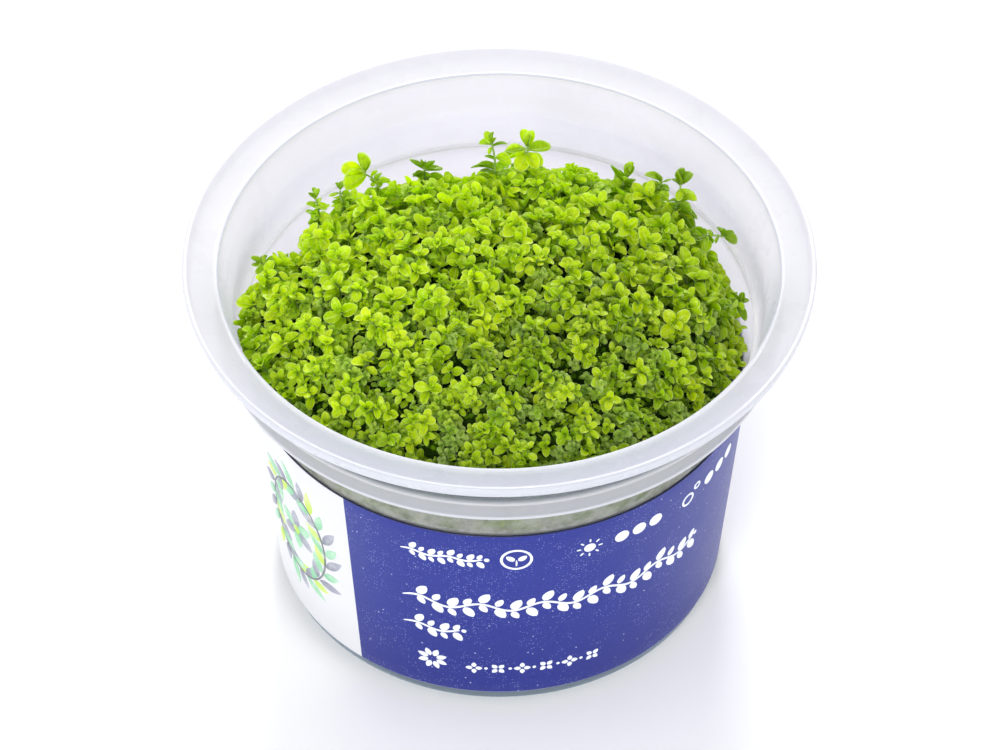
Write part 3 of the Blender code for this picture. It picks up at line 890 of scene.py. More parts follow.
# =====================================================================
# Gel
# =====================================================================
def gel_material():
    t = Tree("agar_gel")
    coords = t.node("TexCoord").outputs["Object"]
    haze = t.noise(coords, 240.0, 3.0, 0.6)
    colour = t.mix(haze, srgb(214, 220, 214), srgb(232, 234, 226))
    bump = t.node("Bump", {"Strength": 0.3, "Distance": 0.0003, "Height": haze})
    rough = t.math("MULTIPLY_ADD", haze, 0.12, 0.05)
    face = t.node(
        "BsdfPrincipled",
        {"Base Color": colour, "Roughness": rough, "Normal": bump.outputs[0]},
    )
    face.inputs["IOR"].default_value = 1.34
    face.inputs["Transmission Weight"].default_value = 0.8
    return t.end(face)


def gel_profile():
    r_top = float(wall_inner(GEL_TOP_Z)) - GAP
    pts = [
        (0.0, GEL_TOP_Z - 0.35, 0, 0),
        (r_top - 3.0, GEL_TOP_Z - 0.35, 2.0, 0),
        (r_top - 0.6, GEL_TOP_Z - 0.1, 0.5, 0),
        (r_top, GEL_TOP_Z, 0.08, 0),
        (float(wall_inner(FLOOR + 2.2)) - GAP, FLOOR + 2.2, 1.6, 0),
        (float(wall_inner(FLOOR)) - 2.4, FLOOR + GAP, 1.6, 0),
        (0.0, FLOOR + GAP, 0, 0),
    ]
    return subdivided(rounded(pts), 3.0)


settle(lathe("agar_disc", gel_profile()[::-1], 160), gel_material(), ["culture_gel"])


# =====================================================================
# The cushion's shape
# =====================================================================
def hummocks(x, y):
    return (
        0.62 * np.sin(0.62 * x + 0.35 * y + 0.4)
        + 0.56 * np.sin(-0.38 * x + 0.71 * y + 1.9)
        + 0.46 * np.sin(0.95 * x - 0.48 * y + 4.1)
        + 0.36 * np.sin(0.31 * x + 1.02 * y + 2.6)
    )


def patches(x, y):
    """From -1 to 1: neighbouring shoots share how pale or deep green they are."""
    return (
        0.36 * np.sin(0.83 * x + 0.52 * y + 2.2 + 0.9 * np.sin(0.4 * y))
        + 0.34 * np.sin(-0.66 * x + 0.94 * y + 0.7 + 0.8 * np.sin(0.35 * x + 1.0))
        + 0.30 * np.sin(1.35 * x - 0.71 * y + 5.0)
    )


def habit_field(x, y):
    """From -1 to 1, in wider patches: tight dull knots below 0, open bright shoots above."""
    return (
        0.42 * np.sin(0.41 * x + 0.30 * y + 1.3 + 0.9 * np.sin(0.23 * y + 0.5))
        + 0.36 * np.sin(-0.33 * x + 0.52 * y + 3.7 + 0.7 * np.sin(0.29 * x))
        + 0.22 * np.sin(0.77 * x - 0.43 * y + 0.2)
    )


def fall(past, soft):
    return 1.28 * soft * np.log1p(np.exp(np.minimum(past / soft, 40.0)))


def dome(x, y):
    """Height over the rim of the leaf tips at a point in plan, in millimetres."""
    r = np.hypot((x + 0.7) * np.where(x > 0, 1.05, 1.0), y + 1.0)
    return (
        7.8
        - 13.2 * (r / 41.0) ** 3
        - fall(y - (14.2 - 0.004 * x * x + 0.1 * x), 2.5)
        - fall(x + np.where(y > 0, 0.32, 0.1) * y - 32.6, 0.9)
        - fall(x - 0.25 * y - 38.1, 0.6)
        - 2.5 * np.exp(-(((x + 6.4) / 3.7) ** 2) - ((y - 13.5) / 4.0) ** 2)
        - fall(0.93 * y - x - 35.8, 1.3)
        - 7.0 * np.exp(-(((x - 36.9) / 1.7) ** 4) - ((y - 7.5) / 6.0) ** 2)
        - 6.0 * np.exp(-(((x - 37.8) / 1.7) ** 4) - ((y + 11.5) / 4.0) ** 2)
        - 4.2 * np.exp(-(((x + 32.2) / 1.4) ** 4) - ((y - 3.5) / 6.0) ** 2)
    )


def mound(x, y):
    return RIM_Z + np.maximum(dome(x, y) + hummocks(x, y), -44.0)


def mound_normal(x, y):
    d = 0.8
    dx = (mound(x + d, y) - mound(x - d, y)) / (2 * d)
    dy = (mound(x, y + d) - mound(x, y - d)) / (2 * d)
    n = np.stack([-dx, -dy, np.ones_like(dx)], -1)
    return n / np.linalg.norm(n, axis=-1, keepdims=True)


def unit(v):
    return v / np.maximum(np.linalg.norm(v, axis=-1, keepdims=True), 1e-9)


# =====================================================================
# Leaves
# =====================================================================
class Template:
    """One closed leaf, one unit long, along +X with its face to +Z. The top has
    cols points across and the underside has under points, and they share a rim."""

    def __init__(self, rows, cols, under, width, neck, cup, curl, fold, thick=0.05):
        verts, uv = [], []
        angles = [math.pi * (k + 1) / (rows + 1) for k in range(rows)]

        def hw(u, angle):
            # An oval with a narrower foot, like the bowl of a spoon.
            foot = neck + (1.0 - neck) * min(1.0, u / 0.42) ** 0.9
            return 0.5 * width * math.sin(angle) ** 0.92 * foot

        def height(u, s):
            return (
                cup * s * s * (0.3 + 0.7 * math.sin(math.pi * min(1.0, u + 0.1))) * width
                + fold * abs(s) * width * 0.5
                + curl * (u - 0.3) ** 2 * (1.0 if u > 0.3 else 0.5)
            )

        verts.append((0.0, 0.0, height(0.0, 0.0)))
        uv.append((0.0, 0.5))
        verts.append((1.0, 0.0, height(1.0, 0.0)))
        uv.append((1.0, 0.5))
        top, bottom = [], []
        for angle in angles:
            u = 0.5 - 0.5 * math.cos(angle)
            w = hw(u, angle)
            rim = []
            for s in (-1.0, 1.0):
                rim.append(len(verts))
                verts.append((u, s * w, height(u, s)))
                uv.append((u, 0.5 + s * w / width))
            for grid, n, side in ((top, cols, 1.0), (bottom, under, -1.0)):
                row = [rim[0]]
                for c in range(1, n - 1):
                    s = -1.0 + 2.0 * c / (n - 1)
                    body = thick * math.sqrt(1 - s * s) * (0.5 + 0.5 * math.sin(angle))
                    rib = 0.012 * max(0.0, 1 - 2.2 * abs(s)) * (1 - u)
                    row.append(len(verts))
                    drop = rib if side > 0 else 1.6 * rib
                    verts.append((u, s * w, height(u, s) + side * body / 2 - drop))
                    uv.append((u, 0.5 + s * w / width))
                row.append(rim[1])
                grid.append(row)
        tris = []
        for grid, flip in ((top, False), (bottom, True)):
            faces = []
            n = len(grid[0])
            for c in range(n - 1):
                faces.append((0, grid[0][c], grid[0][c + 1]))
                faces.append((1, grid[-1][c + 1], grid[-1][c]))
            for a, b in zip(grid, grid[1:]):
                for c in range(n - 1):
                    if c < (n - 1) / 2:
                        faces.append((a[c], b[c], b[c + 1]))
                        faces.append((a[c], b[c + 1], a[c + 1]))
                    else:
                        faces.append((a[c], b[c], a[c + 1]))
                        faces.append((b[c], b[c + 1], a[c + 1]))
            tris += [f[::-1] if flip else f for f in faces]
        pts = np.array(verts, float)
        tris = np.array(tris, np.int64)
        # Wound so that the top faces up.
        first = pts[tris[0]]
        if np.cross(first[1] - first[0], first[2] - first[0])[2] < 0:
            tris = tris[:, ::-1]
        self.verts, self.tris, self.uv = pts, tris, np.array(uv, float)


def templates(rows, cols, under):
    """Eight leaf shapes: oval to round, flat to spoon-shaped."""
    return [
        Template(rows, cols, under, width, neck, cup, curl, fold)
        for width, neck, cup, curl, fold in (
            (0.70, 0.55, 0.26, 0.16, 0.10),
            (0.62, 0.50, 0.38, -0.22, 0.14),
            (0.76, 0.62, 0.18, -0.40, 0.06),
            (0.68, 0.52, 0.46, 0.26, 0.08),
            (0.60, 0.48, 0.30, -0.12, 0.22),
            (0.74, 0.60, 0.40, -0.30, 0.00),
            (0.66, 0.55, -0.16, -0.34, 0.12),
            (0.72, 0.66, 0.52, 0.06, 0.04),
        )
    ]


TEMPLATES = {
    "low": templates(3, 3, 3),
    "mid": templates(5, 4, 3),
    "high": templates(9, 7, 5),
}


class Leaves:
    """Gathers leaves, then writes them as joined meshes."""

    def __init__(self, level):
        self.level = level
        self.rows = []  # base (3), along (3), up (3), length, width factor, tint (4), kind

    def add(self, base, along, up, length, wide, tint, kind):
        self.rows.append(
            np.concatenate([base, along, up, [length, wide], tint, [kind]])
        )

    def arrays(self):
        """(verts, tris, leaf uv, tint, leaf index of each vertex)."""
        rows = np.array(self.rows)
        parts = []
        for kind, tmpl in enumerate(TEMPLATES[self.level]):
            pick = rows[rows[:, 15].astype(int) == kind]
            if not len(pick):
                continue
            x = unit(pick[:, 3:6])
            y = unit(np.cross(pick[:, 6:9], x))
            z = np.cross(x, y)
            size, wide = pick[:, 9:10], pick[:, 10:11]
            frame3 = np.stack([x * size, y * size * wide, z * size], 1)  # n, 3, 3
            v = np.einsum("vk,nkj->nvj", tmpl.verts, frame3) + pick[:, None, 0:3]
            tint = np.repeat(pick[:, None, 11:15], v.shape[1], 1)
            parts.append((v, tmpl, tint))
        return parts


def press_to_wall(v, gap=0.14):
    """Leaf points past the cup's wall are pressed flat on it."""
    r = np.hypot(v[..., 0], v[..., 1])
    most = wall_inner(v[..., 2]) - gap
    over = r > most
    scale = np.where(over, most / np.maximum(r, 1e-6), 1.0)
    v[..., 0] *= scale
    v[..., 1] *= scale
    v[..., 2] = np.maximum(v[..., 2], CUSHION_BOTTOM_Z + 0.1)
    return v


def leaf_mesh(name, groups, press=True):
    """One mesh from several Leaves groups. Every leaf gets its own cell of the
    bake map, and keeps its own leaf coordinates for the veins."""
    pieces = [p for g in groups for p in g.arrays()]
    total = sum(p[0].shape[0] for p in pieces)
    side = math.ceil(math.sqrt(total))
    verts, loops, leaf_uv, bake_uv, tints = [], [], [], [], []
    offset, done = 0, 0
    for v, tmpl, tint in pieces:
        n, k = v.shape[:2]
        if press:
            v = press_to_wall(v)
        verts.append(v.reshape(-1, 3))
        tints.append(tint.reshape(-1, 4))
        tri = tmpl.tris[None] + (offset + k * np.arange(n))[:, None, None]
        loops.append(tri.reshape(-1))
        uv = tmpl.uv[tmpl.tris.reshape(-1)]
        leaf_uv.append(np.tile(uv, (n, 1)))
        cell = done + np.arange(n)
        corner = np.stack([cell % side, cell // side], -1) / side
        bake_uv.append(
            (corner[:, None, :] + (0.07 + 0.86 * uv)[None] / side).reshape(-1, 2)
        )
        offset += n * k
        done += n
    loops = np.concatenate(loops)
    return make_mesh(
        name,
        np.concatenate(verts),
        loops,
        np.arange(0, len(loops), 3),
        {"leaf": np.concatenate(leaf_uv), "OFBake": np.concatenate(bake_uv)},
        np.concatenate(tints),
        smooth_deg=75,
    )


# ---- stems ----
class Stems:
    """Gathers thin round stems, and writes them as one closed mesh."""

    def __init__(self, sides=5):
        self.sides = sides
        self.items = []

    def add(self, path, r0, r1, tint):
        self.items.append((np.asarray(path, float), r0, r1, tint))

    def mesh(self, name, press=True):
        verts, loops, starts, uvs, bakes, tints = [], [], [], [], [], []
        n_side = self.sides
        cells = math.ceil(math.sqrt(len(self.items)))
        for index, (path, r0, r1, tint) in enumerate(self.items):
            base = len(verts)
            n = len(path)
            along = unit(np.gradient(path, axis=0))
            side = unit(np.cross(along, np.array([0.31, 0.89, 0.17])))
            other = np.cross(along, side)
            for i in range(n):
                r = r0 + (r1 - r0) * i / (n - 1)
                for k in range(n_side):
                    a = 2 * math.pi * k / n_side
                    p = path[i] + r * (math.cos(a) * side[i] + math.sin(a) * other[i])
                    verts.append(p)
                    tints.append((*tint, 1.0))
            corner = np.array([index % cells, index // cells])

            def put(corners, coords):
                starts.append(len(loops))
                loops.extend(base + c for c in corners)
                uvs.extend(coords)
                bakes.extend((corner + 0.06 + 0.88 * np.array(c)) / cells for c in coords)

            for i in range(n - 1):
                for k in range(n_side):
                    m = (k + 1) % n_side
                    u0, u1 = k / n_side, (k + 1) / n_side
                    v0, v1 = 0.05 + 0.9 * i / (n - 1), 0.05 + 0.9 * (i + 1) / (n - 1)
                    put(
                        [i * n_side + k, i * n_side + m, (i + 1) * n_side + m, (i + 1) * n_side + k],
                        [(u0, v0), (u1, v0), (u1, v1), (u0, v1)],
                    )
            put(list(range(n_side))[::-1], [(k / n_side, 0.02) for k in range(n_side)])
            last = (n - 1) * n_side
            put([last + k for k in range(n_side)], [(k / n_side, 0.98) for k in range(n_side)])
        v = np.array(verts)
        if press:
            v = press_to_wall(v, 0.2)
        return make_mesh(
            name, v, loops, starts, {"stem": uvs, "OFBake": bakes}, np.array(tints), smooth_deg=75
        )


def turned_about(v, axis, angle):
    """v turned about a unit axis."""
    c, s = math.cos(angle), math.sin(angle)
    return v * c + np.cross(axis, v) * s + axis * (axis @ v) * (1 - c)


def square_to(axis):
    a = np.cross(axis, np.array([0.0, 1.0, 0.05]))
    if np.linalg.norm(a) < 0.2:
        a = np.cross(axis, np.array([1.0, 0.0, 0.0]))
    return a / np.linalg.norm(a)


def curve_path(points, n):
    """A smooth path through a few points (Catmull-Rom), n samples."""
    p = np.asarray(points, float)
    p = np.concatenate([[2 * p[0] - p[1]], p, [2 * p[-1] - p[-2]]])
    out = []
    spans = len(p) - 3
    for q in np.linspace(0, spans - 1e-6, n):
        i = int(q)
        t = q - i
        a, b, c, d = p[i], p[i + 1], p[i + 2], p[i + 3]
        out.append(
            0.5
            * (
                2 * b
                + (c - a) * t
                + (2 * a - 5 * b + 4 * c - d) * t * t
                + (3 * b - a - 3 * c + d) * t**3
            )
        )
    return np.array(out)


# =====================================================================
# Foliage materials
# =====================================================================
def leaf_material():
    t = Tree("leaf")
    coords = t.node("TexCoord").outputs["Object"]
    mark = t.node("Attribute", attribute_name="tint")
    tint = t.node("SeparateColor", {0: mark.outputs[0]})
    rand, age, glow = tint.outputs[0], tint.outputs[1], tint.outputs[2]
    grey = t.math("SUBTRACT", 1.0, mark.outputs["Alpha"])
    uv = t.node("UVMap", uv_map="leaf")
    u = t.node("SeparateXYZ", {0: uv.outputs[0]})
    along, across = u.outputs[0], u.outputs[1]
    # Young leaves are yellow-green, grown ones mid green, the deep ones dull.
    young = t.ramp(rand, [(0.0, srgb(202, 234, 4)), (0.5, srgb(220, 243, 8)), (1.0, srgb(228, 247, 40))])
    grown = t.ramp(rand, [(0.0, srgb(172, 216, 6)), (0.45, srgb(196, 230, 10)), (0.8, srgb(210, 237, 34)), (1.0, srgb(212, 236, 96))])
    old = t.ramp(rand, [(0.0, srgb(136, 180, 0)), (0.6, srgb(162, 202, 4)), (1.0, srgb(186, 214, 36))])
    colour = t.mix(t.step(age, 0.12, 0.5), young, grown)
    colour = t.mix(t.step(age, 0.5, 0.95), colour, old)
    colour = t.mix(t.step(age, 1.0, 2.0), colour, srgb(84, 120, 0))
    colour = t.mix(t.math("MULTIPLY", grey, 0.62), colour, t.ramp(rand, [(0.0, srgb(172, 206, 84)), (1.0, srgb(212, 233, 158))]))
    colour = t.mix(glow, colour, t.ramp(rand, [(0.0, srgb(208, 236, 0)), (1.0, srgb(230, 244, 0))]))
    back = t.step(t.node("SeparateXYZ", {0: coords}).outputs[1], -0.012, 0.016)
    # A pale midrib and faint side veins, and a paler rim that is a painted highlight along the leaf's edge.
    mid = t.math("ABSOLUTE", t.math("SUBTRACT", across, 0.5))
    rib = t.math("SUBTRACT", 1.0, t.step(mid, 0.012, 0.06))
    rib = t.math("MULTIPLY", rib, t.math("SUBTRACT", 1.0, t.step(along, 0.45, 0.9)))
    slant = t.math("SUBTRACT", along, t.math("MULTIPLY", mid, 0.9))
    wave = t.math("SINE", t.math("MULTIPLY", slant, 46.0))
    side = t.math("MULTIPLY", t.step(wave, 0.72, 1.0), t.math("SUBTRACT", 1.0, t.step(mid, 0.25, 0.42)))
    veins = t.math("MAXIMUM", t.math("MULTIPLY", rib, 0.6), t.math("MULTIPLY", side, 0.16))
    out = t.math("SQRT", t.math("ADD", t.math("POWER", t.math("MULTIPLY", t.math("SUBTRACT", along, 0.5), 2.0), 2.0), t.math("POWER", t.math("MULTIPLY", mid, 2.0), 2.0)))
    rim = t.step(out, 0.81, 0.95)
    pale = t.math("MAXIMUM", t.math("MULTIPLY", veins, 0.5), t.math("MULTIPLY", rim, t.math("MULTIPLY_ADD", grey, 0.46, 0.48)))
    colour = t.mix(pale, colour, srgb(238, 248, 186))
    # The foot of a leaf, where it sits in the fold of the pair above, is painted deeper green as shade, less so at
    # the back.
    foot = t.math("SUBTRACT", 1.0, t.step(along, 0.0, 0.42))
    colour = t.mix(t.math("MULTIPLY", foot, t.math("MULTIPLY_ADD", back, -0.28, 0.5)), colour, srgb(122, 168, 0))
    patch = t.noise(coords, 1500.0, 3.0, 0.6)
    dull = t.mix(t.step(patch, 0.36, 0.6), (0.84, 0.87, 0.8), (1.0, 1.0, 1.0))
    colour = t.mix(1.0, colour, dull, blend="MULTIPLY")
    # The shoots at the back and the left are painted lighter, and those at the front and the right darker, as painted
    # light and shade.
    place = t.node("SeparateXYZ", {0: coords})
    shady = t.step(t.math("SUBTRACT", place.outputs[0], place.outputs[1]), -0.002, 0.034)
    colour = t.mix(1.0, colour, t.mix(shady, (1.07, 1.06, 1.0), (0.92, 0.935, 0.95)), blend="MULTIPLY")
    grain = t.noise(coords, 5200.0, 2.0, 0.6)
    height = t.math("ADD", t.math("MULTIPLY_ADD", rim, 0.8, t.math("MULTIPLY", veins, -0.8)), t.math("MULTIPLY", grain, 0.3))
    bump = t.node("Bump", {"Strength": 0.5, "Distance": 0.00008, "Height": height})
    rough = t.math("MULTIPLY_ADD", patch, 0.22, 0.12)
    face = t.node(
        "BsdfPrincipled", {"Base Color": colour, "Roughness": rough, "Normal": bump.outputs[0]}
    )
    face.inputs["IOR"].default_value = 1.54
    face.inputs["Specular Tint"].default_value = (0.92, 1.0, 0.52, 1.0)
    through = t.mix(1.0, colour, (1.0, 1.0, 0.3), blend="MULTIPLY")
    thin = t.node("BsdfTranslucent", {"Color": through})
    return t.end(t.shaders(t.math("MULTIPLY_ADD", back, 0.08, 0.43), face, thin))


def stem_material():
    t = Tree("stem")
    coords = t.node("TexCoord").outputs["Object"]
    tint = t.node("SeparateColor", {0: t.node("Attribute", attribute_name="tint").outputs[0]})
    streaks = t.node("Mapping", {0: coords})
    streaks.inputs["Scale"].default_value = (1.0, 1.0, 0.25)
    fine = t.noise(streaks.outputs[0], 2400.0, 2.0)
    colour = t.mix(fine, srgb(120, 158, 62), srgb(172, 202, 104))
    colour = t.mix(t.step(tint.outputs[1], 0.3, 1.0), colour, srgb(86, 110, 46))
    bump = t.node("Bump", {"Strength": 0.3, "Distance": 0.00005, "Height": fine})
    rough = t.math("MULTIPLY_ADD", fine, 0.2, 0.35)
    face = t.node(
        "BsdfPrincipled", {"Base Color": colour, "Roughness": rough, "Normal": bump.outputs[0]}
    )
    thin = t.node("BsdfTranslucent", {"Color": colour})
    return t.end(t.shaders(0.2, face, thin))


def core_material():
    t = Tree("shaded_stems")
    coords = t.node("TexCoord").outputs["Object"]
    lumps = t.noise(coords, 700.0, 4.0, 0.65)
    streaks = t.node("Mapping", {0: coords})
    streaks.inputs["Scale"].default_value = (1.0, 1.0, 0.22)
    lines = t.noise(streaks.outputs[0], 1500.0, 3.0, 0.7)
    # Old small leaves that lie flat on the tangle, painted dark as the shade under the canopy, with darker shade
    # painted in the seams between them.
    cells = t.node("TexVoronoi", {"Vector": coords, "Scale": 820.0}, feature="F1")
    own = t.node("SeparateColor", {0: cells.outputs["Color"]})
    shade_seam = t.step(cells.outputs["Distance"], 0.30, 0.52)
    flat = t.ramp(own.outputs[0], [(0.0, srgb(64, 104, 0)), (0.6, srgb(98, 146, 0)), (1.0, srgb(128, 178, 4))])
    colour = t.mix(shade_seam, flat, srgb(36, 62, 0))
    colour = t.mix(t.step(lumps, 0.5, 0.72), colour, srgb(40, 66, 2))
    colour = t.mix(t.math("MULTIPLY", t.step(lines, 0.55, 0.8), 0.4), colour, srgb(112, 142, 34))
    lumps = t.math("SUBTRACT", lumps, t.math("MULTIPLY", shade_seam, 0.6))
    height = t.math("ADD", lumps, t.math("MULTIPLY", lines, 0.7))
    bump = t.node("Bump", {"Strength": 0.9, "Distance": 0.0008, "Height": height})
    rough = t.math("MULTIPLY_ADD", lumps, 0.2, 0.65)
    face = t.node(
        "BsdfPrincipled", {"Base Color": colour, "Roughness": rough, "Normal": bump.outputs[0]}
    )
    face.inputs["Specular IOR Level"].default_value = 0.15
    return t.end(face)


# =====================================================================
# The cushion's shoots
# =====================================================================
def scatter(count, gap_of, fixed, box=42.0):
    """Points on the mound no nearer to each other than their gap, in space. The
    fixed ones, as x, y, z and gap, come first."""
    xy = RNG.uniform(-box, box, (count, 2))
    xy = xy[np.hypot(xy[:, 0], xy[:, 1]) < box]
    z = mound(xy[:, 0], xy[:, 1])
    edge = wall_inner(np.minimum(z, MOUTH_Z)) - 0.9
    ok = np.hypot(xy[:, 0], xy[:, 1]) < edge
    pts = np.concatenate([xy, z[:, None]], 1)[ok]
    gaps = gap_of(pts[:, 0], pts[:, 1])
    n = len(fixed)
    taken = np.empty((len(pts) + n, 3))
    reach = np.empty(len(pts) + n)
    taken[:n], reach[:n] = fixed[:, :3], fixed[:, 3]
    for p, g in zip(pts, gaps):
        d = taken[:n] - p
        if ((d * d).sum(1) < (0.5 * (reach[:n] + g)) ** 2).any():
            continue
        taken[n], reach[n] = p, g
        n += 1
    return taken[:n]


def leaf_size(x, y):
    """Leaves are small at the front and larger towards the crown and the back."""
    t = np.clip((y + 34.0) / 46.0, 0.0, 1.0)
    return 1.6 + 0.78 * t**1.2


OPEN = [  # share of leaf size, lift in degrees, distance below the pair above as a share of leaf size
    (0.36, 62, 0.0),
    (0.78, 38, 0.10),
    (1.02, 18, 0.22),
    (1.05, 6, 0.62),
    (1.0, 0, 0.68),
    (0.95, -4, 0.66),
    (0.9, -6, 0.6),
]
KNOT = [
    (0.36, 66, 0.0),
    (0.56, 48, 0.10),
    (0.72, 32, 0.15),
    (0.84, 18, 0.22),
    (0.90, 8, 0.34),
    (0.90, 2, 0.48),
    (0.9, -4, 0.60),
]


def shoot(tip, axis, size, habit, groups, stems, bright=0.0, length=5.5, age0=0.0, near=2.4, dull=0.0, painted_light=0.0, wide=1.0):
    """One leafy shoot that ends at tip. Its leaves stand in crossed pairs."""
    rng = RNG
    hue = rng.normal(0.5, 0.26)
    leaves_top, leaves_low = groups
    side = square_to(axis)
    bend = turned_about(side, axis, rng.uniform(0, 2 * math.pi)) * rng.uniform(0.2, 1.0)
    mid = tip - axis * length * 0.5 + bend * 0.6
    # Under the surface the stem turns more upright.
    down = tip - axis * length + np.array([axis[0], axis[1], 0.0]) * length * 0.35 - bend
    path = curve_path([down, mid, tip], 4)
    seg = np.linalg.norm(np.diff(path, axis=0), axis=1)
    run = np.concatenate([[0], np.cumsum(seg[::-1])])  # from the tip downwards
    back = path[::-1]
    if stems:
        stems.add(path, 0.22, 0.12, (rng.random(), 0.6, 0.0))
    turn = rng.uniform(0, math.pi)
    at = 0.0
    for k, (share, lift, below) in enumerate(habit):
        at += below * size * rng.uniform(0.85, 1.2)
        if at > run[-1] - 0.2:
            break
        here = np.array([np.interp(at, run, back[:, i]) for i in range(3)])
        deeper = np.array([np.interp(min(at + 0.4, run[-1]), run, back[:, i]) for i in range(3)])
        up = unit(here - deeper)
        base_dir = turned_about(square_to(up), up, turn + k * math.pi / 2 + rng.normal(0, 0.12))
        for s in (0, 1):
            flat = turned_about(base_dir, up, math.pi * s + rng.normal(0, 0.13))
            a = math.radians(lift + rng.normal(0, 11))
            along = flat * math.cos(a) + up * math.sin(a)
            face = up * math.cos(a) - flat * math.sin(a)
            face = turned_about(face, along, rng.normal(0, 0.3))
            # On the lit side, the leaves are painted younger down the shoot, as painted light.
            depth = min(1.0, at / (5.0 + 3.0 * painted_light) + age0)
            age = np.clip(0.25 * dull + (0.06 + 0.75 * depth + 0.2 * (rng.random() - 0.5)) * (1.0 - 0.45 * painted_light), 0, 1)
            glow = bright * (1.0 if k < 4 else 0.4)
            group = leaves_top if at < near else leaves_low
            group.add(
                here + along * 0.04 * size,
                along,
                face,
                share * size * rng.uniform(0.88, 1.1),
                wide * rng.uniform(0.88, 1.14),
                (np.clip(hue + rng.normal(0, 0.09), 0, 1), age, glow * rng.uniform(0.8, 1.0), 1.0 - dull),
                rng.integers(0, 8),
            )


# Shoots that stand out over the rest, in plan: x, y, leaf length, how yellow.
TUFTS = [
    (-2.5, -25.0, 2.0, 0.8), (-10.0, -24.2, 2.5, 0.9), (-10.5, -30.8, 2.5, 0.5),
    (-11.2, -34.8, 2.2, 0.6), (-13.2, -36.6, 2.1, 0.8), (12.8, -33.2, 2.3, 0.5),
    (1.0, -19.2, 2.4, 1.0), (-3.2, -19.0, 2.5, 0.3), (-9.2, -17.2, 2.6, 0.8),
    (2.5, -33.2, 2.1, 0.6), (6.2, -30.6, 1.9, 0.7), (10.0, -31.2, 1.8, 0.7),
    (5.0, -21.2, 2.0, 0.5), (-25.2, -9.8, 3.0, 0.7), (-24.6, -15.2, 3.1, 0.7),
    (-16.8, -15.2, 2.7, 0.8), (-19.8, -19.5, 2.5, 0.5), (-15.5, -21.8, 2.3, 0.6),
    (-26.4, -20.6, 2.4, 0.4), (-29.0, -6.8, 2.8, 0.3), (-22.2, -4.0, 2.9, 0.5),
    (-14.0, -5.0, 2.9, 0.9), (-15.5, -9.4, 2.5, 0.8), (-33.2, -17.2, 2.8, 0.9),
    (-38.6, -12.5, 2.4, 0.4), (-20.4, -32.0, 2.2, 0.8), (-24.2, -31.0, 2.2, 0.4),
    (-31.0, -22.4, 2.3, 0.4), (-20.8, -24.5, 2.1, 0.5), (-7.8, 4.5, 3.2, 1.0),
    (-1.8, -14.8, 2.7, 0.9), (10.8, -11.2, 2.8, 0.6), (17.2, -11.8, 2.8, 0.8),
    (19.8, 0.2, 3.0, 1.0), (27.0, -15.2, 2.9, 1.0), (35.2, -13.5, 2.6, 0.8),
    (29.5, -24.2, 2.5, 0.9), (15.2, -20.5, 2.4, 0.4), (21.5, -14.8, 2.6, 0.7),
    (24.0, -5.2, 2.8, 0.5), (3.2, -4.2, 2.8, 0.4), (-2.4, -6.0, 2.7, 0.2),
    (9.8, 0.8, 3.0, 0.6), (15.8, 5.6, 3.0, 0.4), (30.4, -4.8, 2.9, 0.5),
    (21.5, -25.2, 2.3, 0.3), (16.8, -30.5, 2.1, 0.3), (6.8, -26.6, 2.1, 0.2),
    (12.2, -24.0, 2.2, 0.4), (1.4, 6.4, 3.1, 0.9), (-18.6, 2.2, 3.0, 0.4),
    (-27.4, 0.4, 2.8, 0.5), (25.6, 3.0, 2.9, 0.3),
]
# Places where the leaves part and show the shade under them: x, y, radius.
HOLLOWS = [
    (-22.6, -20.4, 1.5), (-15.0, -27.2, 1.4), (-17.6, -28.6, 1.2), (-27.6, -12.8, 1.0),
    (-18.4, -8.6, 1.1), (-12.4, -19.6, 1.0), (25.8, -21.4, 2.1), (8.2, -33.6, 1.3),
    (12.6, -5.6, 1.2), (-1.2, -34.2, 1.2), (9.4, -25.6, 1.1), (-5.2, -22.4, 1.1),
    (-4.0, -37.4, 1.0), (30.6, -9.4, 1.1), (-6.8, -9.6, 1.0), (20.2, -19.4, 1.2),
]


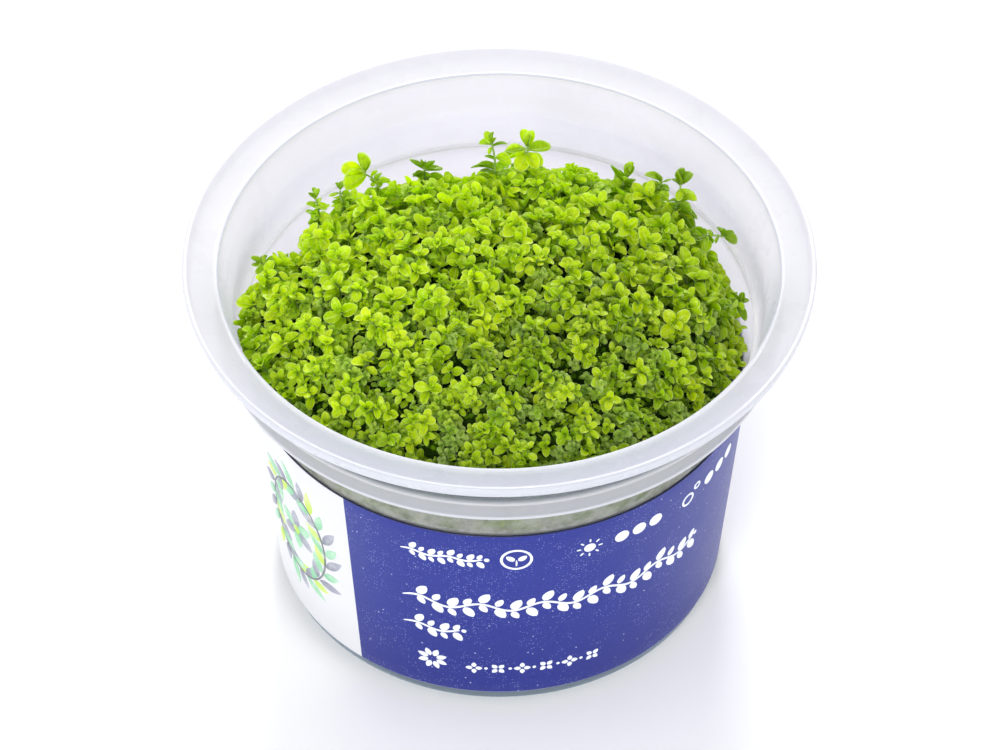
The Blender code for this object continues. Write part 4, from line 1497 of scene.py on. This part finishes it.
def build_cushion():
    groups = [(Leaves("mid"), Leaves("low")) for _ in range(5)]
    stems = Stems(4)

    def gap_of(x, y):
        tight = 1.0 + 0.14 * np.minimum(habit_field(x, y), 0.0)
        return tight * (0.84 - 0.08 * np.clip((y + 10.0) / 20.0, 0.0, 1.0)) * leaf_size(x, y) + 0.2

    fixed = np.array(
        [(x, y, float(mound(np.float64(x), np.float64(y))), 0.85 * size + 0.2) for x, y, size, _ in TUFTS]
    )
    tips = scatter(40000, gap_of, fixed)
    normals = mound_normal(tips[:, 0], tips[:, 1])
    for i, (p, n) in enumerate(zip(tips, normals)):
        size = float(leaf_size(p[0], p[1]))
        back = np.clip((p[1] + 30.0) / 40.0, 0.0, 1.0)
        kind = float(habit_field(p[0], p[1]))
        is_open = RNG.random() < 0.38 + 0.32 * back + 0.4 * kind
        upright = np.array([0.0, 0.0, 1.0])
        axis = unit(0.65 * n + 0.45 * upright + RNG.normal(0, 0.2, 3))
        bright, dull, age0, lean = 0.0, 0.0, 0.0, 0.0
        shared = float(patches(p[0], p[1]))
        if i < len(TUFTS):
            is_open = True
            size, bright = TUFTS[i][2], TUFTS[i][3]
            sink = RNG.uniform(-0.7, 0.1)
        elif is_open:
            size *= RNG.uniform(0.88, 1.42)
            sink = RNG.uniform(0.0, 1.5)
            if RNG.random() < 0.2 + 0.25 * back + 0.2 * shared + 0.2 * kind:
                bright = RNG.uniform(0.3, 0.9)
        else:
            size *= RNG.uniform(0.74, 0.98)
            sink = RNG.uniform(1.0, 2.2)
            dull = float(np.clip(RNG.uniform(0.0, 0.7) - 0.7 * kind, 0.0, 1.0))
        if i >= len(TUFTS):
            sink -= 0.5 * shared
            # Shoots towards the front and the right are painted older and less yellow, as shade. Those at the back
            # and the left are painted younger, as light.
            lean = float(np.clip(0.012 * p[0] - 0.012 * (p[1] + 10.0), -0.36, 0.4))
            age0 = max(0.0, -0.3 * shared) + max(0.0, 0.34 * lean)
            bright *= 1.0 - max(0.0, lean)
            for hx, hy, reach in HOLLOWS:
                away = math.hypot(p[0] - hx, p[1] - hy)
                if away < 0.8 * reach + 0.2:
                    sink += 2.5 * (1.0 - 0.5 * away / (reach + 0.2))
                    # Leaves in a hollow are painted older and duller, as shade.
                    bright, dull, age0 = 0.0, 0.2, 0.5
        tip = p - n * sink
        # A shoot next to the wall leans in from it.
        r = math.hypot(tip[0], tip[1])
        room = float(wall_inner(min(tip[2], MOUTH_Z))) - r
        if room < 1.6:
            tip[:2] *= (r - 0.6) / r
        hidden = p[1] > 24.0
        # Towards the back, the leaves are painted less old, as painted light.
        shoot(
            tip, axis, size, (OPEN if is_open else KNOT)[: 4 if hidden else 6], groups[i % 5], stems,
            bright, near=0.0 if hidden else 1.8 if is_open else 1.0, dull=dull, age0=age0 * (1.0 - 0.6 * back),
            painted_light=float(np.clip(back - 0.6 * lean, 0.0, 1.3)), wide=1.0 if is_open else 1.22,
        )
    print("shoots on the mound", len(tips))

    # Low shoots that fill the gaps between the others.
    under = scatter(12000, lambda x, y: 0.66 * leaf_size(x, y) + 0.6, np.zeros((0, 4)))
    for i, p in enumerate(under):
        if p[1] > 19.0:
            continue
        n = mound_normal(p[0], p[1])
        tip = p - n * RNG.uniform(2.5, 3.5)
        room = float(wall_inner(min(tip[2], MOUTH_Z))) - math.hypot(tip[0], tip[1])
        if room < 1.0:
            continue
        axis = unit(n + RNG.normal(0, 0.35, 3))
        # The low shoots are painted less old towards the back, as painted light.
        shoot(
            tip, axis, float(leaf_size(p[0], p[1])) * RNG.uniform(1.0, 1.2), OPEN[2:4], groups[i % 5], None,
            length=2.4, age0=0.3 - 0.25 * float(np.clip((p[1] + 20.0) / 30.0, 0.0, 1.0)), near=0.0, dull=0.1,
        )
    print("low shoots", len(under))

    # Leaves pressed on the wall below the mound's edge, seen through the plastic.
    wall = 0
    for z in np.arange(43.0, 62.0, 2.5):
        around = int(2 * math.pi * 40 / 3.0)
        for k in range(around):
            a = 2 * math.pi * (k + RNG.uniform(-0.35, 0.35)) / around
            h = z + RNG.uniform(-1.1, 1.1)
            r = float(wall_inner(h)) - 0.9
            x, y = r * math.cos(a), r * math.sin(a)
            if mound(np.float64(x), np.float64(y)) < h + 3.0 or (y > 4.0 and h > 46.0):
                continue
            if x > 0 and -15.0 < y < 4.0:
                continue
            out = np.array([math.cos(a), math.sin(a), 0.0])
            axis = unit(0.35 * out + np.array([0.0, 0.0, 1.0]) + RNG.normal(0, 0.3, 3))
            shoot(
                np.array([x, y, h]), axis, float(leaf_size(x, y)) * RNG.uniform(0.9, 1.2), OPEN[1:4],
                groups[wall % 5], stems, 0.25 if RNG.random() < 0.1 else 0.0, length=3.0,
                age0=0.3, near=0.0,
            )
            wall += 1
    print("shoots on the wall", wall)

    leaf = leaf_material()
    for i, (top, low) in enumerate(groups):
        obj = leaf_mesh(f"cushion_leaves_{i + 1}", [top, low])
        print(obj.name, len(top.rows), len(low.rows), "leaves", len(obj.data.polygons), "triangles")
        settle(obj, leaf, ["cushion"])
    obj = stems.mesh("cushion_stems")
    obj.data.validate()
    print(obj.name, len(stems.items), "stems", len(obj.data.polygons), "faces")
    settle(obj, stem_material(), ["cushion"])
    return leaf


CORE_DEPTH = 5.2  # from the tips down to the tangle


def build_core():
    """The tangle of old stems under the leaves, painted dark as the shade under them."""
    segments, rings = 120, 34
    prof = []
    verts, loops, starts, uv = [], [], [], []
    for i in range(rings + 1):
        for j in range(segments):
            a = 2 * math.pi * j / segments
            c, s = math.cos(a), math.sin(a)
            edge = 38.4
            for _ in range(12):
                top = float(mound(np.float64(edge * c), np.float64(edge * s)))
                edge = 0.5 * edge + 0.5 * (float(wall_inner(min(top, MOUTH_Z))) - 3.0)
            edge_z = float(mound(np.float64(edge * c), np.float64(edge * s))) - CORE_DEPTH
            if i <= 22:
                r = edge * (i / 22.0) ** 0.9
                z = float(mound(np.float64(r * c), np.float64(r * s))) - CORE_DEPTH
                z += 0.7 * math.sin(1.9 * r * c + 0.7) * math.sin(1.7 * r * s + 1.1)
            elif i <= 30:
                share = (i - 22) / 8.0
                z = edge_z + (CUSHION_BOTTOM_Z + 1.0 - edge_z) * share
                r = min(edge, float(wall_inner(max(z, 0.0))) - 2.6)
                r += 0.5 * math.sin(0.9 * z + 5 * a) * math.sin(23 * a)
            else:
                r = (float(wall_inner(CUSHION_BOTTOM_Z)) - 4.0) * (rings - i) / (rings - 30)
                z = CUSHION_BOTTOM_Z + 0.4
            verts.append((r * c, r * s, max(z, CUSHION_BOTTOM_Z + 0.4)))
    for i in range(rings):
        for j in range(segments):
            k = (j + 1) % segments
            starts.append(len(loops))
            loops.extend(
                [i * segments + j, (i + 1) * segments + j, (i + 1) * segments + k, i * segments + k]
            )
            u0, u1, v0, v1 = j / segments, (j + 1) / segments, i / rings, (i + 1) / rings
            uv.extend([(u0, v0), (u0, v1), (u1, v1), (u1, v0)])
    obj = make_mesh("cushion_core", verts, loops, starts, {"OFBake": 0.01 + 0.98 * np.array(uv)})
    import bmesh

    bm = bmesh.new()
    bm.from_mesh(obj.data)
    bmesh.ops.remove_doubles(bm, verts=bm.verts, dist=1e-6)
    bmesh.ops.recalc_face_normals(bm, faces=bm.faces)
    bm.to_mesh(obj.data)
    bm.free()
    obj.data.shade_smooth()
    settle(obj, core_material(), ["cushion"])


# =====================================================================
# The twelve tall sprigs
# =====================================================================
RIGHT = np.array([1.0, 0.0, 0.0])
RISE = np.array([0.0, 0.7153, 0.6988])  # up in the picture plane of the photo's view
TOWARDS = np.array([0.0, -0.6988, 0.7153])  # to the viewer

# Foot in plan, tip as x, y and height over the rim, sideways bow of the stem, how
# far down the small pairs start, and the leaves: distance down the stem, direction in the picture plane in degrees,
# length, how far it faces the viewer (1) or shows its edge (0), age, how yellow.
SPRIGS = [
    ("sprig_01", (-19.4, 11.6), (-21.4, 12.2, 6.8), (2.0, 0.4), 2.6, [
        (0.0, 164, 3.3, 0.8, 0.1, 0.9), (0.0, 100, 3.1, 0.6, 0.5, 0.3), (0.2, 66, 1.9, 0.45, 0.7, 0.1),
        (0.5, 216, 3.8, 0.7, 0.1, 0.9), (1.4, 40, 1.3, 0.4, 0.4, 0.2), (1.9, 330, 1.5, 0.6, 0.5, 0.1),
        (2.8, 70, 1.6, 0.4, 0.6, 0.0), (3.2, 14, 1.9, 0.4, 0.5, 0.1), (3.6, 240, 1.6, 0.7, 0.5, 0.2),
        (4.2, 300, 2.0, 0.8, 0.4, 0.3), (4.4, 200, 2.1, 0.6, 0.5, 0.1)]),
    ("sprig_02", (-28.4, 6.4), (-28.9, 7.6, 5.6), (0.3, -0.3), 1.2, [
        (0.0, 104, 1.8, 0.6, 0.6, 0.1), (0.0, 62, 1.6, 0.5, 0.6, 0.1), (0.2, 150, 1.4, 0.4, 0.7, 0.0),
        (0.6, 190, 1.5, 0.5, 0.6, 0.0), (0.6, 330, 1.7, 0.8, 0.4, 0.5), (1.5, 250, 1.9, 0.8, 0.4, 0.3),
        (1.8, 30, 1.8, 0.4, 0.5, 0.1), (2.6, 172, 1.9, 0.4, 0.7, 0.0), (2.6, 318, 2.0, 0.8, 0.2, 0.8),
        (3.4, 226, 1.8, 0.7, 0.5, 0.2), (4.2, 184, 1.8, 0.3, 0.8, 0.0), (4.4, 350, 2.0, 0.5, 0.4, 0.3),
        (5.2, 286, 2.0, 0.8, 0.4, 0.3), (6.0, 198, 1.9, 0.6, 0.7, 0.0), (6.4, 336, 2.0, 0.7, 0.5, 0.2)]),
    ("sprig_03", (-24.8, 10.0), (-25.2, 11.4, 3.8), (-0.3, 0.2), 1.5, [
        (0.0, 118, 1.3, 0.5, 0.7, 0.0), (0.0, 52, 1.5, 0.5, 0.7, 0.0), (0.3, 192, 1.7, 0.4, 0.6, 0.0),
        (0.5, 344, 1.5, 0.6, 0.6, 0.1), (1.4, 262, 1.7, 0.8, 0.4, 0.3), (2.0, 178, 1.5, 0.4, 0.6, 0.0),
        (2.2, 8, 2.0, 0.4, 0.7, 0.0), (3.2, 30, 1.8, 0.3, 0.8, 0.0), (3.4, 220, 1.8, 0.8, 0.5, 0.2),
        (4.2, 330, 2.0, 0.8, 0.5, 0.2)]),
    ("sprig_04", (-11.8, 14.8), (-12.0, 16.2, 4.2), (0.2, 0.3), 2.8, [
        (0.0, 84, 1.0, 0.3, 0.9, 0.0), (0.0, 120, 1.3, 0.3, 0.9, 0.0), (0.2, 160, 2.4, 0.2, 0.9, 0.0),
        (0.2, 20, 1.9, 0.2, 0.8, 0.0), (0.4, 4, 2.6, 0.3, 0.8, 0.0), (0.4, 250, 1.5, 0.6, 0.6, 0.1),
        (0.6, 300, 1.5, 0.6, 0.5, 0.2), (1.1, 190, 1.7, 0.3, 0.8, 0.0), (1.9, 352, 3.4, 0.3, 0.6, 0.2),
        (1.9, 164, 2.0, 0.2, 0.8, 0.0), (2.3, 236, 1.8, 0.8, 0.4, 0.3), (2.4, 296, 2.2, 0.9, 0.2, 0.7),
        (3.4, 188, 2.1, 0.4, 0.6, 0.1), (3.5, 344, 2.3, 0.7, 0.4, 0.3), (4.4, 262, 2.2, 0.9, 0.4, 0.2)]),
    ("sprig_05", (-0.8, 11.4), (-1.2, 12.8, 12.6), (0.6, 0.0), 4.6, [
        (0.1, 114, 2.1, 0.7, 0.5, 0.1), (0.0, 100, 1.7, 0.3, 0.8, 0.0), (0.2, 70, 1.2, 0.5, 0.7, 0.1),
        (0.2, 168, 1.8, 0.6, 0.5, 0.1), (0.4, 12, 2.1, 0.1, 1.0, 0.0), (0.5, 250, 1.1, 0.6, 0.5, 0.1),
        (2.6, 340, 2.4, 0.5, 0.3, 0.4), (2.9, 172, 1.5, 0.25, 0.8, 0.0), (4.0, 186, 2.5, 0.35, 0.7, 0.0),
        (4.1, 350, 2.0, 0.4, 0.5, 0.1), (4.6, 172, 3.2, 0.15, 0.9, 0.0), (5.2, 250, 1.8, 0.8, 0.3, 0.5),
        (5.6, 160, 2.2, 0.2, 0.8, 0.0), (5.8, 16, 2.3, 0.3, 0.6, 0.2), (6.6, 186, 2.6, 0.3, 0.7, 0.1),
        (7.2, 336, 2.4, 0.6, 0.4, 0.4), (8.4, 250, 2.2, 0.8, 0.4, 0.2)]),
    ("sprig_06", (4.4, 13.6), (4.6, 15.0, 10.6), (-0.2, 0.2), 4.4, [
        (0.7, 107, 2.7, 0.7, 0.3, 0.4), (0.7, 72, 2.7, 0.7, 0.3, 0.4), (0.2, 90, 1.5, 0.4, 0.9, 0.0),
        (0.9, 174, 3.4, 0.38, 0.7, 0.2), (1.2, 8, 3.4, 0.5, 0.7, 0.2), (1.7, 193, 3.9, 0.4, 0.3, 0.4),
        (1.7, 246, 2.9, 0.85, 0.1, 1.0), (1.7, 300, 2.9, 0.85, 0.1, 1.0), (2.0, 330, 2.6, 0.7, 0.1, 0.8),
        (3.8, 186, 2.3, 0.3, 0.7, 0.1), (3.8, 352, 2.3, 0.3, 0.8, 0.0), (5.0, 230, 2.3, 0.7, 0.3, 0.4),
        (5.0, 316, 2.3, 0.7, 0.5, 0.1)]),
    ("sprig_07", (19.6, 14.0), (20.7, 15.2, 3.6), (-0.4, 0.2), 1.6, [
        (0.0, 108, 1.7, 0.6, 0.7, 0.1), (0.1, 74, 2.0, 0.6, 0.6, 0.2), (0.6, 62, 1.9, 0.7, 0.6, 0.1),
        (0.5, 170, 2.2, 0.9, 0.6, 0.1), (1.2, 326, 1.4, 0.6, 0.8, 0.0), (1.6, 134, 3.2, 0.02, 1.0, 0.0),
        (1.9, 176, 1.9, 0.6, 0.4, 0.3), (1.9, 16, 1.8, 0.05, 1.0, 0.0), (2.1, 356, 1.9, 0.3, 0.7, 0.1),
        (2.5, 214, 2.2, 0.8, 0.2, 0.6), (2.6, 292, 2.2, 0.8, 0.3, 0.4), (3.3, 184, 2.3, 0.4, 0.5, 0.1),
        (3.5, 350, 2.2, 0.4, 0.6, 0.1)]),
    ("sprig_08", (24.8, 11.8), (25.8, 13.0, 4.2), (0.3, -0.2), 2.0, [
        (0.0, 152, 2.6, 0.35, 0.9, 0.0), (0.1, 20, 1.5, 0.3, 0.9, 0.0), (0.2, 118, 1.6, 0.3, 0.9, 0.0),
        (0.6, 196, 1.6, 0.5, 0.6, 0.1), (0.9, 338, 1.7, 0.5, 0.8, 0.0), (1.4, 168, 2.0, 0.7, 0.2, 0.7),
        (1.5, 222, 1.9, 0.8, 0.2, 0.7), (1.9, 0, 1.8, 0.4, 0.6, 0.1), (2.8, 262, 1.9, 0.8, 0.3, 0.4),
        (3.5, 190, 2.2, 0.5, 0.5, 0.1), (3.6, 346, 2.0, 0.5, 0.6, 0.1)]),
    ("sprig_09", (28.0, 9.2), (28.6, 10.6, 6.0), (0.5, 0.4), 3.2, [
        (0.2, 104, 2.1, 0.15, 1.0, 0.0), (0.0, 72, 2.4, 0.6, 0.9, 0.0), (0.3, 56, 2.6, 0.6, 0.9, 0.1),
        (0.2, 88, 1.8, 0.5, 0.7, 0.2), (0.4, 130, 1.6, 0.4, 0.9, 0.0), (0.7, 262, 1.7, 0.7, 0.3, 0.6),
        (0.8, 306, 1.8, 0.6, 0.3, 0.5), (1.9, 14, 2.2, 0.4, 0.4, 0.3), (2.0, 346, 2.6, 0.6, 0.3, 0.4),
        (3.0, 176, 1.7, 0.3, 0.9, 0.0), (3.1, 8, 2.2, 0.25, 1.0, 0.0), (3.6, 330, 2.3, 0.5, 0.9, 0.0),
        (4.4, 200, 2.0, 0.8, 0.3, 0.4), (4.6, 312, 2.4, 0.6, 1.0, 0.0), (5.0, 346, 3.2, 0.3, 1.0, 0.0),
        (5.6, 286, 2.0, 0.8, 0.4, 0.3), (6.0, 326, 3.3, 0.3, 1.0, 0.0), (6.4, 212, 2.0, 0.8, 0.4, 0.3),
        (7.2, 340, 2.2, 0.6, 0.7, 0.0), (7.4, 236, 2.2, 0.8, 0.4, 0.2)]),
    ("sprig_10", (31.2, 4.0), (35.4, 5.0, -0.2), (0.6, 0.6), 2.4, [
        (0.0, 112, 1.8, 0.45, 0.9, 0.0), (0.0, 348, 2.2, 0.7, 1.0, 0.0), (0.1, 22, 1.6, 0.5, 1.0, 0.0),
        (0.2, 60, 1.1, 0.4, 0.8, 0.0), (0.6, 236, 1.2, 0.5, 0.6, 0.0), (1.6, 160, 1.8, 0.4, 0.6, 0.2),
        (1.9, 250, 2.0, 0.7, 0.3, 0.5), (2.6, 176, 2.6, 0.8, 0.8, 0.0), (3.3, 206, 2.3, 0.6, 0.5, 0.2),
        (3.5, 290, 2.2, 0.7, 0.4, 0.3)]),
    ("sprig_11", (35.4, -6.6), (38.1, -5.0, -5.2), (0.4, -0.3), 1.4, [
        (0.0, 84, 1.6, 0.8, 1.0, 0.0), (0.1, 44, 1.3, 0.6, 1.0, 0.0), (0.2, 126, 2.4, 0.05, 1.0, 0.0),
        (0.4, 160, 1.9, 0.3, 1.0, 0.0), (0.8, 330, 1.3, 0.5, 1.0, 0.0), (0.9, 208, 1.6, 0.5, 0.8, 0.0),
        (1.4, 300, 2.5, 0.4, 1.0, 0.0), (1.7, 250, 1.8, 0.7, 0.7, 0.1), (2.4, 170, 1.8, 0.5, 0.6, 0.1),
        (2.6, 236, 1.8, 0.8, 0.5, 0.2)]),
    ("sprig_12", (-36.2, 0.2), (-37.6, 1.0, -2.4), (-0.3, 0.4), 1.2, [
        (0.0, 140, 1.7, 0.5, 0.9, 0.0), (0.0, 60, 1.5, 0.5, 0.8, 0.0), (0.3, 100, 1.1, 0.4, 0.8, 0.0),
        (0.9, 176, 1.9, 0.4, 0.8, 0.0), (1.0, 10, 1.9, 0.5, 0.7, 0.0), (1.5, 266, 1.8, 0.8, 0.4, 0.3),
        (2.4, 196, 2.1, 0.6, 0.6, 0.0), (2.5, 346, 2.0, 0.6, 0.4, 0.3)]),
]


def build_sprigs(leaf):
    stem_mat = bpy.data.materials["stem"]
    for name, foot, tip, bow, bare, leaves in SPRIGS:
        top = float(mound(np.float64(foot[0]), np.float64(foot[1])))
        low = np.array([foot[0], foot[1], top - 2.9])
        out = np.array([foot[0], foot[1], top + 0.6])
        end = np.array([tip[0], tip[1], RIM_Z + tip[2]])
        mid = (out + end) / 2 + np.array([bow[0], bow[1], 0.6])
        pts = [low] + [
            out * (1 - t) ** 2 + mid * 2 * t * (1 - t) + end * t * t for t in (0, 1 / 3, 2 / 3, 1)
        ]
        path = curve_path(pts, 15)
        stems = Stems(8)
        stems.add(path, 0.28, 0.14, (0.5, 0.1, 0.0))
        stem = stems.mesh(name + "_stem", press=False)
        settle(stem, stem_mat, [name])
        seg = np.linalg.norm(np.diff(path, axis=0), axis=1)
        run = np.concatenate([[0], np.cumsum(seg[::-1])])
        back = path[::-1]
        group = Leaves("high")
        for at, heading, length, facing, age, yellow in leaves:
            here = np.array([np.interp(min(at, run[-1] - 0.4), run, back[:, i]) for i in range(3)])
            t = math.radians(heading + RNG.normal(0, 4))
            away = RNG.normal(0, 0.25)
            along = unit(math.cos(t) * RIGHT + math.sin(t) * RISE - away * TOWARDS)
            edge = -math.sin(t) * RIGHT + math.cos(t) * RISE
            if edge[2] < 0:
                edge = -edge
            face = unit(facing * TOWARDS + (1.0 - facing) * edge)
            group.add(
                here + along * 0.1,
                along,
                face,
                length * RNG.uniform(1.04, 1.16),
                RNG.uniform(1.0, 1.15),
                (RNG.uniform(0.2, 0.8), age * (1.2 if yellow < 0.4 else 1.0), yellow, 1.0),
                RNG.integers(0, 8),
            )
        # Lower down, below the bare length, small crossed pairs fill the stem.
        at, turn = bare, RNG.uniform(0, math.pi)
        while at < run[-1] - 0.9:
            here = np.array([np.interp(at, run, back[:, i]) for i in range(3)])
            deeper = np.array([np.interp(at + 0.4, run, back[:, i]) for i in range(3)])
            up = unit(here - deeper)
            for s in (0, 1):
                flat = turned_about(square_to(up), up, turn + math.pi * s + RNG.normal(0, 0.2))
                a = math.radians(24 + RNG.normal(0, 14))
                group.add(
                    here, flat * math.cos(a) + up * math.sin(a), up * math.cos(a) - flat * math.sin(a),
                    RNG.uniform(1.2, 1.8), RNG.uniform(0.95, 1.2),
                    (RNG.random(), RNG.uniform(0.3, 0.8), 0.0, RNG.uniform(0.6, 1.0)), RNG.integers(0, 8),
                )
            at += RNG.uniform(0.7, 1.1)
            turn += math.pi / 2
        settle(leaf_mesh(name + "_leaves", [group], press=False), leaf, [name])


leaf = build_cushion()
build_core()
build_sprigs(leaf)
